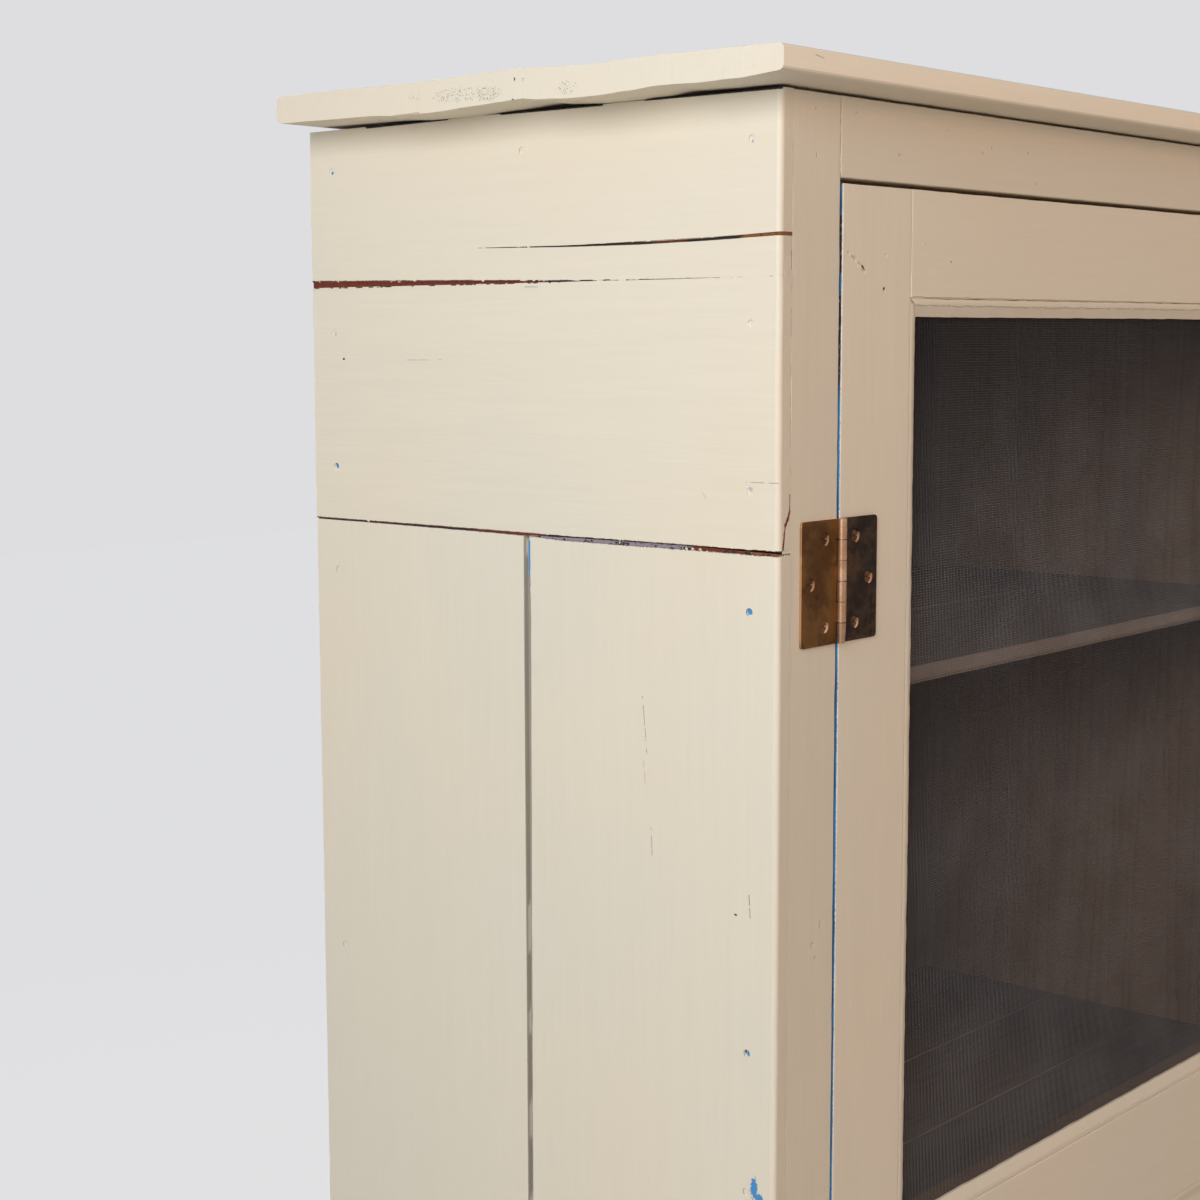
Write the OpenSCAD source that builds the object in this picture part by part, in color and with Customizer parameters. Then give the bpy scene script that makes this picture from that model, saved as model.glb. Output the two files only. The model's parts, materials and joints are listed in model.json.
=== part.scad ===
// Old painted pine food cupboard: boarded sides, a warped three-plank top, and one tall framed door
// with a wire mesh screen above and a wooden panel below, on two surface-mounted butt hinges.
// Millimetres. X runs to the right, Y to the back and Z up. The origin is on the floor, under the
// middle of the outline. Pieces are drawn from the case's front left corner on the floor.

/* [Case] */
// Width of the case over its side boards
case_w = 764; // [640:1:900]
// Depth of the case from its front face to its back face
case_d = 406; // [360:1:480]
// Height of the case up to the underside of the top
case_h = 1640; // [1560:1:1760]
// Open height under the side planks and the bottom rail
leg_h = 80; // [50:1:110]
// Rounding of the outer upright corners
arris_r = 3.5; // [1:0.5:5]

/* [Top] */
// Thickness of the front and middle top planks
top_t = 18; // [14:1:26]
// Thickness of the rear top plank
rear_top_t = 19; // [14:1:26]
// How far the top stands out over the front
top_front_over = 29; // [24:1:45]
// How far the top stands out over each side
top_side_over = 37; // [15:1:50]
// How far the top stays short of the back face
top_back_short = 9; // [0:1:20]
// Place of the joint between the front and middle top planks, behind the front face
front_top_joint = 73; // [62:1:88]
// Place of the joint between the middle and rear top planks
rear_top_joint = 168; // [160:1:220]
// Width of these joints
top_joint_gap = 0.6; // [0.2:0.1:2]
// Where the front top plank rests, behind the front face
front_rest_y = 30; // [20:1:50]
// Where the middle top plank rests
middle_rest_y = 108; // [106:1:130]
// Where the rear top plank rests
rear_rest_y = 246; // [236:1:280]
// Half the flat width where a warped plank rests
top_seat = 12; // [5:1:14]
// How far the front plank's front edge lifts off the case
nose_lift = 2; // [0.5:0.1:3]
// How far the front plank's rear edge lifts
front_plank_lift = 1.2; // [0.2:0.1:3]
// How far the middle plank's front edge lifts
middle_plank_lift = 0.2; // [0.1:0.1:3]
// How far the middle and rear planks lift at their joint
joint_lift = 1.7; // [0.5:0.1:3]
// How far the rear plank's rear edge lifts
rear_lift = 1.8; // [0.5:0.1:3]
// Rounding of the top's long outer edges
top_round = 4; // [1:0.5:6]
// Rounding of the top planks at their joint
joint_round = 0.8; // [0.4:0.1:2]

/* [Side boards] */
// Thickness of the side boards
side_t = 12; // [10:0.5:16]
// Height of the upper board on the left side
upper_board_h = 107; // [80:1:130]
// Height of the middle board on the left side
middle_board_h = 159.5; // [120:0.5:200]
// Opening of the joint under the upper board at the back edge
upper_joint_open = 4; // [1:0.5:6]
// Where that joint starts to open, behind the front face
upper_joint_start = 120; // [40:5:250]
// Width of the joint over the upright planks at the front edge
middle_joint_gap = 1.9; // [0.8:0.1:3]
// Width of that joint at the back edge
middle_joint_rear_gap = 0.6; // [0.4:0.1:0.8]
// Height of the split above the upper board's lower edge, at the front edge
split_up = 24.5; // [15:0.5:40]
// How far the split dips behind the front edge
split_dip = 2.2; // [0:0.1:4]
// Opening of the split at the front edge
split_w = 2.3; // [0.5:0.1:4]
// Length of the split
split_l = 190; // [60:5:240]
// Width of the front plank on the left side, at its upper end
left_plank_w = 198.6; // [170:0.1:240]
// Opening between the left planks at the upper end
plank_gap_high = 6; // [2:0.5:7]
// Opening between the left planks at the lower end
plank_gap_low = 1; // [0.5:0.5:5]
// Thickness of a board's tongue
tongue_t = 4; // [3:0.5:5]
// Depth of a board's groove
groove_deep = 9.5; // [9:0.5:12]
// Play of a tongue in its groove
tongue_fit = 0.2; // [0.1:0.05:0.4]
// Place of the front joint on the right side, behind the front face
right_joint_front = 84; // [60:1:120]
// Place of the rear joint on the right side, behind the front face
right_joint_rear = 282; // [240:1:320]
// Opening of a tight joint between planks
tight_gap = 0.8; // [0.4:0.1:2]

/* [Posts and rails] */
// Width of a front post
post_w = 47.5; // [40:0.5:60]
// Depth of a front post
post_d = 40; // [32:1:48]
// Width of a rear post
rear_post_w = 44; // [36:1:60]
// Depth of a rear post
rear_post_d = 22; // [18:1:30]
// Thickness of the front rails
rail_t = 22.5; // [22.5:0.5:26]
// Height of the front top rail
top_rail_h = 48; // [40:1:70]
// Height of the front bottom rail
bottom_rail_h = 60; // [45:1:80]
// Height of the rear top rail
rear_rail_h = 50; // [35:1:70]
// Length of a rail's tenon in its post
tenon_l = 20; // [12:1:26]
// Thickness of a rail's tenon
tenon_t = 8; // [6:0.5:9]
// Shoulder above and below a tenon
tenon_shoulder = 8; // [4:1:12]
// Play of a tenon in its mortise
tenon_fit = 0.15; // [0.1:0.05:0.3]

/* [Back] */
// Thickness of the back planks
back_t = 11; // [9:0.5:14]

/* [Shelves] */
// Thickness of the shelf boards
shelf_t = 11.5; // [10:0.5:16]
// Depth of the upper shelf's surface under the top
upper_shelf_drop = 359.5; // [320:0.5:400]
// Depth of the middle shelf's surface under the top
middle_shelf_drop = 757.5; // [700:0.5:800]
// Depth of the lower shelf's surface under the top
lower_shelf_drop = 1140; // [1060:1:1180]
// Distance from the front face to the shelves' front edges
shelf_back_set = 27; // [24:1:31]
// Place of the upper shelf's board joint, behind the front face
upper_shelf_joint = 193; // [160:1:230]
// Place of the middle shelf's front board joint
middle_joint_front = 125; // [100:1:150]
// Place of the middle shelf's rear board joint
middle_joint_rear = 228; // [200:1:260]
// Place of the lower shelf's board joint
lower_shelf_joint = 205; // [170:1:240]
// Place of the floor's board joint
floor_joint = 214; // [170:1:240]
// Opening between two shelf boards
shelf_gap = 1.2; // [0.5:0.1:2]
// Play of the shelf boards around the posts and walls
shelf_play = 0.8; // [0.3:0.1:0.9]
// Thickness of a cleat
cleat_t = 18; // [14:1:24]
// Height of a shelf's cleat
cleat_h = 20; // [15:1:30]
// Height of a top cleat
top_cleat_h = 36; // [32:1:50]
// Height of the door stop
stop_h = 25; // [20:1:35]
// Drop of the door stop below the top rail
stop_drop = 11; // [8:1:14]
// Thickness of the door stop
stop_t = 12; // [8:1:14]

/* [Door] */
// Thickness of the door
door_t = 22; // [18:0.5:22]
// Gap beside the door
door_gap_side = 2.8; // [1.5:0.1:4]
// Gap over the door
door_gap_top = 2.9; // [1.5:0.1:4]
// Gap under the door
door_gap_low = 3; // [2:0.1:5]
// Width of a door stile
stile_w = 74.5; // [60:0.5:90]
// Height of the door's top rail
door_top_rail_h = 67; // [55:1:90]
// Height of the framed opening for the screen
screen_h = 617.5; // [560:0.5:660]
// Height of the door's middle rail
door_mid_rail_h = 95; // [70:1:120]
// Height of the door's bottom rail
door_low_rail_h = 96; // [75:1:120]
// Length of a door rail's tenon
door_tenon_l = 45; // [25:1:55]
// Thickness of the lower panel
panel_t = 9; // [7:0.5:10]
// Play around the panel and the screen
panel_play = 0.6; // [0.3:0.1:0.9]

/* [Mouldings] */
// Width of a moulding
mould_w = 11.4; // [9:0.2:14]
// Depth of a moulding from the door's face to the screen
mould_d = 6; // [5:0.5:8]
// Width of the moulding's flat bead
bead_w = 4.6; // [3:0.1:6]
// Depth of the fine grooves beside the bead
quirk = 0.7; // [0.3:0.1:1]
// Depth of the bevel at its inner edge
bevel_d = 3.8; // [2:0.1:4.5]
// Depth of the rear beads that hold the screen
rear_bead_d = 12; // [8:0.5:13]
// Opening of the mitre joints
mitre_gap = 0.3; // [0.1:0.1:0.8]

/* [Screen] */
// Thickness of the wire screen
screen_t = 0.9; // [0.6:0.1:1.2]
// Width of a bar of the screen
screen_bar = 1.6; // [1:0.1:3]
// Gaps across the screen
screen_nx = 14; // [8:1:16]
// Gaps up the screen
screen_nz = 18; // [8:1:18]

/* [Hinges] */
// Height of a hinge
hinge_h = 76; // [60:1:90]
// Width of a hinge leaf from the pin's axis
leaf_w = 39.5; // [34:0.5:44]
// Thickness of a hinge leaf
leaf_t = 1.5; // [1.2:0.1:2]
// Radius of a leaf's outer corners
leaf_corner = 2.5; // [1:0.5:5]
// Radius of the hinge pin
pin_r = 1.4; // [1.2:0.1:1.6]
// Play of the pin in the knuckles
pin_fit = 0.05; // [0.02:0.01:0.08]
// Open gap above each knuckle of the door leaf
knuckle_open = 0.6; // [0.4:0.1:1]
// Close gap below each knuckle of the door leaf
knuckle_close = 0.3; // [0.3:0.1:0.6]
// Clearance between a leaf and the other leaf's knuckles
leaf_clear = 0.5; // [0.4:0.1:1]
// Radius of the lowest knuckle at its tapered end
knuckle_tip_r = 2.3; // [2.1:0.1:2.8]
// Distance from the door's ends to the hinges
hinge_inset = 200; // [120:5:260]
// Distance of the end screws from the pin's axis
screw_near = 16; // [12:0.5:20]
// Distance of the middle screw from the pin's axis
screw_far = 30.5; // [24:0.5:33]
// Height of the end screws over and under the middle one
screw_rise = 26.5; // [18:0.5:30]

/* [Screws and nails] */
// Radius of a hinge screw's head
screw_head_r = 4; // [3:0.1:4.5]
// Radius of a hinge screw's shank
screw_r = 2; // [1.5:0.1:2.2]
// Length of a hinge screw
screw_l = 18; // [12:1:20]
// Height of a screw head's cone
screw_cone = 1.9; // [1.6:0.1:2.2]
// How far a screw head lies below the leaf's face
screw_sink = 0.25; // [0.1:0.05:0.4]
// Width of the ring of countersink that shows round a head
screw_ring = 0.4; // [0.2:0.1:0.6]
// Width of a screw's slot
slot_w = 0.9; // [0.6:0.1:1.2]
// Depth of a screw's slot
slot_d = 0.8; // [0.5:0.1:1]
// Radius of a nail's head
nail_head_r = 2.4; // [1.5:0.1:3]
// Thickness of a nail's head
nail_head_t = 1; // [0.6:0.1:1.5]
// Radius of a nail's shank
nail_r = 1.2; // [0.8:0.1:1.4]
// Length of a nail
nail_l = 32; // [25:1:34]
// How far the nail heads are punched below the boards
nail_sink = 0.7; // [0.3:0.1:1.2]
// Distance of the front nails behind the front face
nail_front = 21; // [15:0.5:28]
// Place of the nail in the top cleat, behind the front face
cleat_nail_y = 204; // [120:1:300]
// Depth of the nail in the top cleat under the top
cleat_nail_drop = 24; // [10:1:30]
// Depths of the nails in the front posts under the top
front_nail_drops = [28, 134, 232, 304, 575, 663, 850, 1120];
// Depths of the nails in the rear posts under the top
rear_nail_drops = [28, 138, 231, 303, 575, 850, 1120];
// Heights of the lowest nails in each post above the lower end of the planks
foot_nail_rises = [40, 160];

/* [Knob and turn button] */
// Height of the knob and the turn button over the lower edge of the screen's opening
latch_up = 32; // [20:1:60]
// Radius of the knob
knob_r = 14; // [10:0.5:18]
// How far the knob stands out from the door
knob_l = 26; // [20:1:28]
// Radius of the knob's neck
knob_neck_r = 6.5; // [5:0.5:8]
// Radius of the knob's foot
knob_foot_r = 10; // [8:0.5:13]
// Thickness of the knob's foot
knob_foot_t = 2.5; // [1.5:0.5:4]
// Height of the knob's rounded head
knob_head_h = 15; // [12:0.5:16]
// Radius of the knob's shank in the stile
knob_shank_r = 5; // [4:0.5:6]
// Length of the turn button from its pivot to its end
button_reach = 32; // [27:1:36]
// Length of the turn button on the other side of its pivot
button_tail = 22; // [12:1:26]
// Width of the turn button
button_w = 17; // [14:1:22]
// Thickness of the turn button
button_t = 9; // [7:0.5:12]
// Distance of the turn button's pivot from the post's inner edge
button_pivot = 14; // [11:0.5:17]
// Clearance behind the turn button and under its screw's head
button_clear = 0.4; // [0.3:0.05:0.6]
// Radius of the turn button's screw
pivot_r = 2.2; // [1.8:0.1:2.6]
// Play of the turn button on its screw
pivot_fit = 0.08; // [0.03:0.01:0.1]
// Radius of the turn button's screw head
pivot_head_r = 4.4; // [3.8:0.1:5]
// Height of the turn button's screw head
pivot_head_t = 2; // [1.5:0.1:2.5]
// Length of the turn button's screw inside the post
pivot_l = 24; // [16:1:30]

/* [Hidden] */

// How far a cutting shape runs past what it cuts
over = 1;
// Number of back planks
back_count = 4;
// Facets of round timber shapes and of small metal ones
round_fn = 32;
metal_fn = 40;
// Knuckles of a hinge
knuckles = 6;
// Steps along a warped face of a top plank
warp_steps = 6;
// Steps round a plank's edge and round the knob's head
edge_steps = 4;
head_steps = 12;
// Length of a tongue inside its groove
tongue_in = 7;
// Angle between the points of a round profile
arc_step = 15;
// Share of the split's length behind which it is a fine crack, and its opening there
split_bend = 0.34;
split_thin = 0.6;

front_y = top_front_over - (case_d + top_front_over) / 2;
inner_w = case_w - 2 * side_t;
opening_x = side_t + post_w;
opening_w = case_w - 2 * opening_x;
opening_z0 = leg_h + bottom_rail_h;
opening_z1 = case_h - top_rail_h;
door_x0 = opening_x + door_gap_side;
door_x1 = case_w - door_x0;
door_z0 = opening_z0 + door_gap_low;
door_z1 = opening_z1 - door_gap_top;
field_x0 = door_x0 + stile_w;
field_x1 = door_x1 - stile_w;
screen_z1 = door_z1 - door_top_rail_h;
screen_z0 = screen_z1 - screen_h;
panel_z1 = screen_z0 - door_mid_rail_h;
panel_z0 = door_z0 + door_low_rail_h;
latch_z = screen_z0 + latch_up;
back_y = case_d - back_t;
rear_post_y = back_y - rear_post_d;
floor_z = opening_z0;
barrel_r = pin_r + leaf_t;
hinge_x = (opening_x + door_x0) / 2;
upper_hinge_z = door_z1 - hinge_inset - hinge_h;
lower_hinge_z = door_z0 + hinge_inset;
knuckle_h = hinge_h / knuckles;
planks_z1 = case_h - upper_board_h - middle_board_h - middle_joint_gap;
nail_rear = rear_post_y + rear_post_d / 2;
shelf_x0 = side_t + shelf_play;
shelf_x1 = case_w - shelf_x0;
back_pitch = (inner_w + tight_gap) / back_count;
screen_w = field_x1 - field_x0 - 2 * panel_play;

cream = "#e9e0c8";
shaded_cream = "#dfd5bc";
bare_wood = "#9a7452";
brass = "#7a5a34";
wire = "#35343a";
panel_cream = "#e4dac0";

// Moves pieces from the case's front left corner to the model's own frame
module in_case() {
    translate([-case_w / 2, front_y, 0]) children();
}

// The right-hand twin of a piece drawn for the left side
module opposite() {
    translate([case_w, 0, 0]) mirror([1, 0, 0]) children();
}

// A plain block between two opposite corners
module block(low, high) {
    translate(low) cube(high - low);
}

// What the rounding takes off the outer front corner of the left side
module corner_waste() {
    difference() {
        block([-over, -over, 0], [arris_r, arris_r, case_h]);
        translate([arris_r, arris_r, -over]) cylinder(r = arris_r, h = case_h + 2 * over, $fn = round_fn);
    }
}

// Height of a warped plank's lower face at y: nothing at flat, and lift at its edge
function warp(y, flat, edge, lift) = lift * pow((y - flat) / (edge - flat), 2);

// Half of a plank's long edge as [y, z], rounded by r. The plank ends at y and is t thick there from z
// up, and side is 1 on its rear edge and -1 on its front edge
function plank_edge(y, z, t, r, side) = [for (i = [1:2 * edge_steps - 1])
    let (a = 90 * i / edge_steps - 90)
    [y + side * r * (cos(a) - 1), z + t / 2 + side * ((t / 2 - r) * sign(sin(a)) + r * sin(a))]];

// Cross-section of a warped top plank of thickness t, which rests on the case round rest. ends holds
// its front and rear edge, lifts how far they lift, and rounds how far they are rounded
module top_section(ends, rest, t, lifts, rounds) {
    flat = [rest - top_seat, rest + top_seat];
    first = ends[0] + rounds[0];
    last = ends[1] - rounds[1];
    under = concat(
        [for (i = [0:warp_steps]) let (y = first + (flat[0] - first) * i / warp_steps)
            [y, warp(y, flat[0], ends[0], lifts[0])]],
        [for (i = [0:warp_steps]) let (y = flat[1] + (last - flat[1]) * i / warp_steps)
            [y, warp(y, flat[1], ends[1], lifts[1])]]
    );
    upper = [for (i = [len(under) - 1:-1:0]) [under[i][0], under[i][1] + t]];
    rear_edge = plank_edge(ends[1], under[len(under) - 1][1], t, rounds[1], 1);
    front_edge = plank_edge(ends[0], under[0][1], t, rounds[0], -1);
    polygon(concat(under, rear_edge, upper, front_edge));
}

module top_plank(ends, rest, t, lifts, rounds) {
    color(cream) in_case() translate([-top_side_over, 0, case_h])
        side_sheet(case_w + 2 * top_side_over) top_section(ends, rest, t, lifts, rounds);
}

// A sheet with its outline in Y and Z and its thickness along X
module side_sheet(t) {
    rotate([90, 0, 90]) linear_extrude(t) children();
}

// A sheet with its outline in X and Z and its thickness along Y, from y = 0
module front_sheet(t) {
    translate([0, t, 0]) rotate([90, 0, 0]) linear_extrude(t) children();
}

// A nail of the left side. Its hole starts outside the board, and the nail itself at its head
module nail(y, z, start, l) {
    shank = nail_sink + nail_head_t;
    translate([0, y, z]) rotate([0, 90, 0]) {
        translate([0, 0, start]) cylinder(r = nail_head_r, h = shank - start, $fn = metal_fn);
        translate([0, 0, shank]) cylinder(r = nail_r, h = l - shank, $fn = round_fn);
    }
}

module nails(start) {
    for (drop = front_nail_drops) nail(nail_front, case_h - drop, start, nail_l);
    for (drop = rear_nail_drops) nail(nail_rear, case_h - drop, start, nail_l);
    for (y = [nail_front, nail_rear], rise = foot_nail_rises) nail(y, leg_h + rise, start, nail_l);
    nail(cleat_nail_y, case_h - cleat_nail_drop, start, side_t + cleat_t - over);
}

// The countersunk cone and shank of a hinge screw, from the leaf's face at y = 0
module screw_body() {
    rotate([-90, 0, 0]) {
        translate([0, 0, screw_sink])
            cylinder(r1 = screw_head_r, r2 = screw_r, h = screw_cone, $fn = metal_fn);
        translate([0, 0, screw_sink]) cylinder(r = screw_r, h = screw_l - screw_sink, $fn = metal_fn);
    }
}

// Puts a screw at each of the three holes of both leaves on one side of the pins' axis
module at_hinge_screws(side) {
    for (hinge_z = [lower_hinge_z, upper_hinge_z])
        for (hole = [[screw_near, screw_rise], [screw_far, 0], [screw_near, -screw_rise]])
            translate([hinge_x + side * hole[0], -leaf_t, hinge_z + hinge_h / 2 + hole[1]]) children();
}

// A tenon on both ends of a rail from x0 to x1. With some play it is the waste of the mortises
module tenons(x0, x1, l, y, z0, z1, play) {
    block([x0 - l - play, y - tenon_t / 2 - play, z0 + tenon_shoulder - play],
        [x1 + l + play, y + tenon_t / 2 + play, z1 - tenon_shoulder + play]);
}

module front_rail_tenons(z0, z1, play) {
    tenons(opening_x, case_w - opening_x, tenon_l, rail_t / 2, z0, z1, play);
}

module rear_rail_tenons(z0, z1, play) {
    tenons(side_t + rear_post_w, case_w - side_t - rear_post_w, tenon_l,
        rear_post_y + rear_post_d / 2, z0, z1, play);
}

module door_rail_tenons(z0, z1, play) {
    tenons(field_x0, field_x1, door_tenon_l, door_t / 2, z0, z1, play);
}

// The two horizontal boards of the left side
module upper_board_outline() {
    z0 = case_h - upper_board_h;
    dip_z = z0 + split_up - split_dip;
    bend_y = split_l * split_bend;
    difference() {
        polygon([[0, z0], [upper_joint_start, z0], [case_d, z0 + upper_joint_open], [case_d, case_h],
            [0, case_h]]);
        polygon([[-over, z0 + split_up - split_w / 2], [bend_y, dip_z - split_w * split_thin / 2],
            [split_l, dip_z], [bend_y, dip_z + split_w * split_thin / 2],
            [-over, z0 + split_up + split_w / 2]]);
    }
}

module left_upper_board() {
    groove_x = (side_t - tongue_t) / 2 - tongue_fit;
    groove_z = case_h - upper_board_h;
    color(cream) in_case() difference() {
        side_sheet(side_t) upper_board_outline();
        block([groove_x, -over, groove_z - over],
            [side_t - groove_x, case_d + over, groove_z + groove_deep]);
        corner_waste();
        nails(-over);
    }
}

module left_middle_board() {
    low = planks_z1 + middle_joint_rear_gap;
    high = case_h - upper_board_h;
    tongue_x = (side_t - tongue_t) / 2;
    color(cream) in_case() difference() {
        union() {
            side_sheet(side_t) polygon([[0, planks_z1 + middle_joint_gap], [case_d, low], [case_d, high],
                [0, high]]);
            block([tongue_x, 0, high - over], [side_t - tongue_x, case_d, high + tongue_in]);
        }
        corner_waste();
        nails(-over);
    }
}

// An upright plank of a side from y0 to y1, or to y1_low at its lower end. Its tongue reaches
// forward into the groove of the plank before it
module side_plank(y0, y1, y1_low, z1, tongue, grooved) {
    x0 = (side_t - tongue_t) / 2;
    difference() {
        union() {
            side_sheet(side_t) polygon([[y0, leg_h], [y1_low, leg_h], [y1, z1], [y0, z1]]);
            if (tongue > 0) block([x0, y0 - tongue, leg_h], [x0 + tongue_t, y0 + over, z1]);
        }
        if (grooved) block([x0 - tongue_fit, y1 - groove_deep, leg_h - over],
            [x0 + tongue_t + tongue_fit, max(y1, y1_low) + over, z1 + over]);
        corner_waste();
        nails(-over);
    }
}

module left_front_plank() {
    color(cream) in_case() side_plank(0, left_plank_w, left_plank_w + plank_gap_high - plank_gap_low,
        planks_z1, 0, true);
}

module left_rear_plank() {
    y0 = left_plank_w + plank_gap_high;
    color(cream) in_case() side_plank(y0, case_d, case_d, planks_z1, plank_gap_high + tongue_in, false);
}

module right_front_plank() {
    color(cream) in_case() opposite()
        side_plank(0, right_joint_front, right_joint_front, case_h, 0, true);
}

module right_centre_plank() {
    color(cream) in_case() opposite() side_plank(right_joint_front + tight_gap, right_joint_rear,
        right_joint_rear, case_h, tight_gap + tongue_in, true);
}

module right_rear_plank() {
    color(cream) in_case() opposite() side_plank(right_joint_rear + tight_gap, case_d, case_d, case_h,
        tight_gap + tongue_in, false);
}

// Posts, whose lower ends are the feet
module front_post() {
    difference() {
        block([side_t, 0, 0], [opening_x, post_d, case_h]);
        front_rail_tenons(opening_z1, case_h, tenon_fit);
        front_rail_tenons(leg_h, opening_z0, tenon_fit);
        nails(-over);
    }
}

module rear_post() {
    difference() {
        block([side_t, rear_post_y, 0], [side_t + rear_post_w, back_y, case_h]);
        rear_rail_tenons(case_h - rear_rail_h, case_h, tenon_fit);
        rear_rail_tenons(leg_h, floor_z - shelf_t, tenon_fit);
        nails(-over);
    }
}

module front_post_left() {
    color(shaded_cream) in_case() difference() {
        front_post();
        at_hinge_screws(-1) screw_body();
    }
}

module front_post_right() {
    color(shaded_cream) in_case() difference() {
        opposite() front_post();
        at_pivot() rotate([-90, 0, 0]) cylinder(r = pivot_r, h = pivot_l, $fn = metal_fn);
    }
}

module rear_post_left() {
    color(bare_wood) in_case() rear_post();
}

module rear_post_right() {
    color(bare_wood) in_case() opposite() rear_post();
}

// Rails between the posts
module front_top_rail() {
    color(shaded_cream) in_case() union() {
        block([opening_x, 0, opening_z1], [case_w - opening_x, rail_t, case_h]);
        front_rail_tenons(opening_z1, case_h, 0);
    }
}

module front_bottom_rail() {
    color(shaded_cream) in_case() union() {
        block([opening_x, 0, leg_h], [case_w - opening_x, rail_t, opening_z0]);
        front_rail_tenons(leg_h, opening_z0, 0);
    }
}

module rear_rail(z0, z1) {
    x0 = side_t + rear_post_w;
    color(bare_wood) in_case() union() {
        block([x0, rear_post_y, z0], [case_w - x0, back_y, z1]);
        rear_rail_tenons(z0, z1, 0);
    }
}

module rear_top_rail() {
    rear_rail(case_h - rear_rail_h, case_h);
}

module rear_bottom_rail() {
    rear_rail(leg_h, floor_z - shelf_t);
}

// Back planks, tongued to the left
module back_plank(n) {
    x0 = side_t + n * back_pitch;
    x1 = x0 + back_pitch - tight_gap;
    y0 = back_y + (back_t - tongue_t) / 2;
    color(bare_wood) in_case() difference() {
        union() {
            block([x0, back_y, leg_h], [x1, case_d, case_h]);
            if (n > 0) block([x0 - tight_gap - tongue_in, y0, leg_h], [x0 + over, y0 + tongue_t, case_h]);
        }
        if (n < back_count - 1) block([x1 - groove_deep, y0 - tongue_fit, leg_h - over],
            [x1 + over, y0 + tongue_t + tongue_fit, case_h + over]);
    }
}

// Cleats along both sides, under height z
module side_cleats(z, h) {
    color(bare_wood) in_case() {
        side_cleat(z, h);
        opposite() side_cleat(z, h);
    }
}

module side_cleat(z, h) {
    difference() {
        block([side_t, post_d, z - h], [side_t + cleat_t, rear_post_y, z]);
        nails(-over);
    }
}

module top_cleats() {
    side_cleats(case_h, top_cleat_h);
}

// Cleats under the three shelves and the floor
module shelf_cleats() {
    for (drop = [upper_shelf_drop, middle_shelf_drop, lower_shelf_drop, case_h - floor_z])
        side_cleats(case_h - drop - shelf_t, cleat_h);
}

// A shelf board from y0 to y1 with its upper face at z, notched round the posts
module shelf_board(y0, y1, z) {
    color(bare_wood) in_case() difference() {
        block([shelf_x0, y0, z - shelf_t], [shelf_x1, y1, z]);
        post_notches(z);
        opposite() post_notches(z);
    }
}

module post_notches(z) {
    block([0, 0, z - shelf_t - over], [opening_x + shelf_play, post_d + shelf_play, z + over]);
    block([0, rear_post_y - shelf_play, z - shelf_t - over],
        [side_t + rear_post_w + shelf_play, case_d, z + over]);
}

module upper_shelf_front_board() {
    shelf_board(shelf_back_set, upper_shelf_joint, case_h - upper_shelf_drop);
}

module upper_shelf_rear_board() {
    shelf_board(upper_shelf_joint + shelf_gap, back_y - shelf_play, case_h - upper_shelf_drop);
}

module middle_shelf_front_board() {
    shelf_board(shelf_back_set, middle_joint_front, case_h - middle_shelf_drop);
}

module middle_shelf_centre_board() {
    shelf_board(middle_joint_front + shelf_gap, middle_joint_rear, case_h - middle_shelf_drop);
}

module middle_shelf_rear_board() {
    shelf_board(middle_joint_rear + shelf_gap, back_y - shelf_play, case_h - middle_shelf_drop);
}

module lower_shelf_front_board() {
    shelf_board(shelf_back_set, lower_shelf_joint, case_h - lower_shelf_drop);
}

module lower_shelf_rear_board() {
    shelf_board(lower_shelf_joint + shelf_gap, back_y - shelf_play, case_h - lower_shelf_drop);
}

module floor_front_board() {
    shelf_board(rail_t + shelf_play, floor_joint, floor_z);
}

module floor_rear_board() {
    shelf_board(floor_joint + shelf_gap, back_y - shelf_play, floor_z);
}

// Strip behind the top rail that the closed door meets
module door_stop() {
    z0 = opening_z1 - stop_drop;
    color(bare_wood) in_case()
        block([opening_x, rail_t, z0], [case_w - opening_x, rail_t + stop_t, z0 + stop_h]);
}

module side_nails() {
    color("#6d665c") in_case() {
        nails(nail_sink);
        opposite() nails(nail_sink);
    }
}

// Door frame
module door_stile(x0, x1) {
    difference() {
        block([x0, 0, door_z0], [x1, door_t, door_z1]);
        door_rail_tenons(screen_z1, door_z1, tenon_fit);
        door_rail_tenons(panel_z1, screen_z0, tenon_fit);
        door_rail_tenons(door_z0, panel_z0, tenon_fit);
    }
}

module door_hinge_stile() {
    color(shaded_cream) in_case() difference() {
        door_stile(door_x0, field_x0);
        at_hinge_screws(1) screw_body();
    }
}

module door_lock_stile() {
    color(shaded_cream) in_case() difference() {
        door_stile(field_x1, door_x1);
        at_knob() translate([0, 0, -door_t - over])
            cylinder(r = knob_shank_r, h = door_t + 2 * over, $fn = metal_fn);
    }
}

module door_rail(z0, z1) {
    color(shaded_cream) in_case() union() {
        block([field_x0, 0, z0], [field_x1, door_t, z1]);
        door_rail_tenons(z0, z1, 0);
    }
}

module door_top_rail() {
    door_rail(screen_z1, door_z1);
}

module door_middle_rail() {
    door_rail(panel_z1, screen_z0);
}

module door_bottom_rail() {
    door_rail(door_z0, panel_z0);
}

module door_panel() {
    color(panel_cream) in_case() block([field_x0 + panel_play, mould_d, panel_z0 + panel_play],
        [field_x1 - panel_play, mould_d + panel_t, panel_z1 - panel_play]);
}

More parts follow.
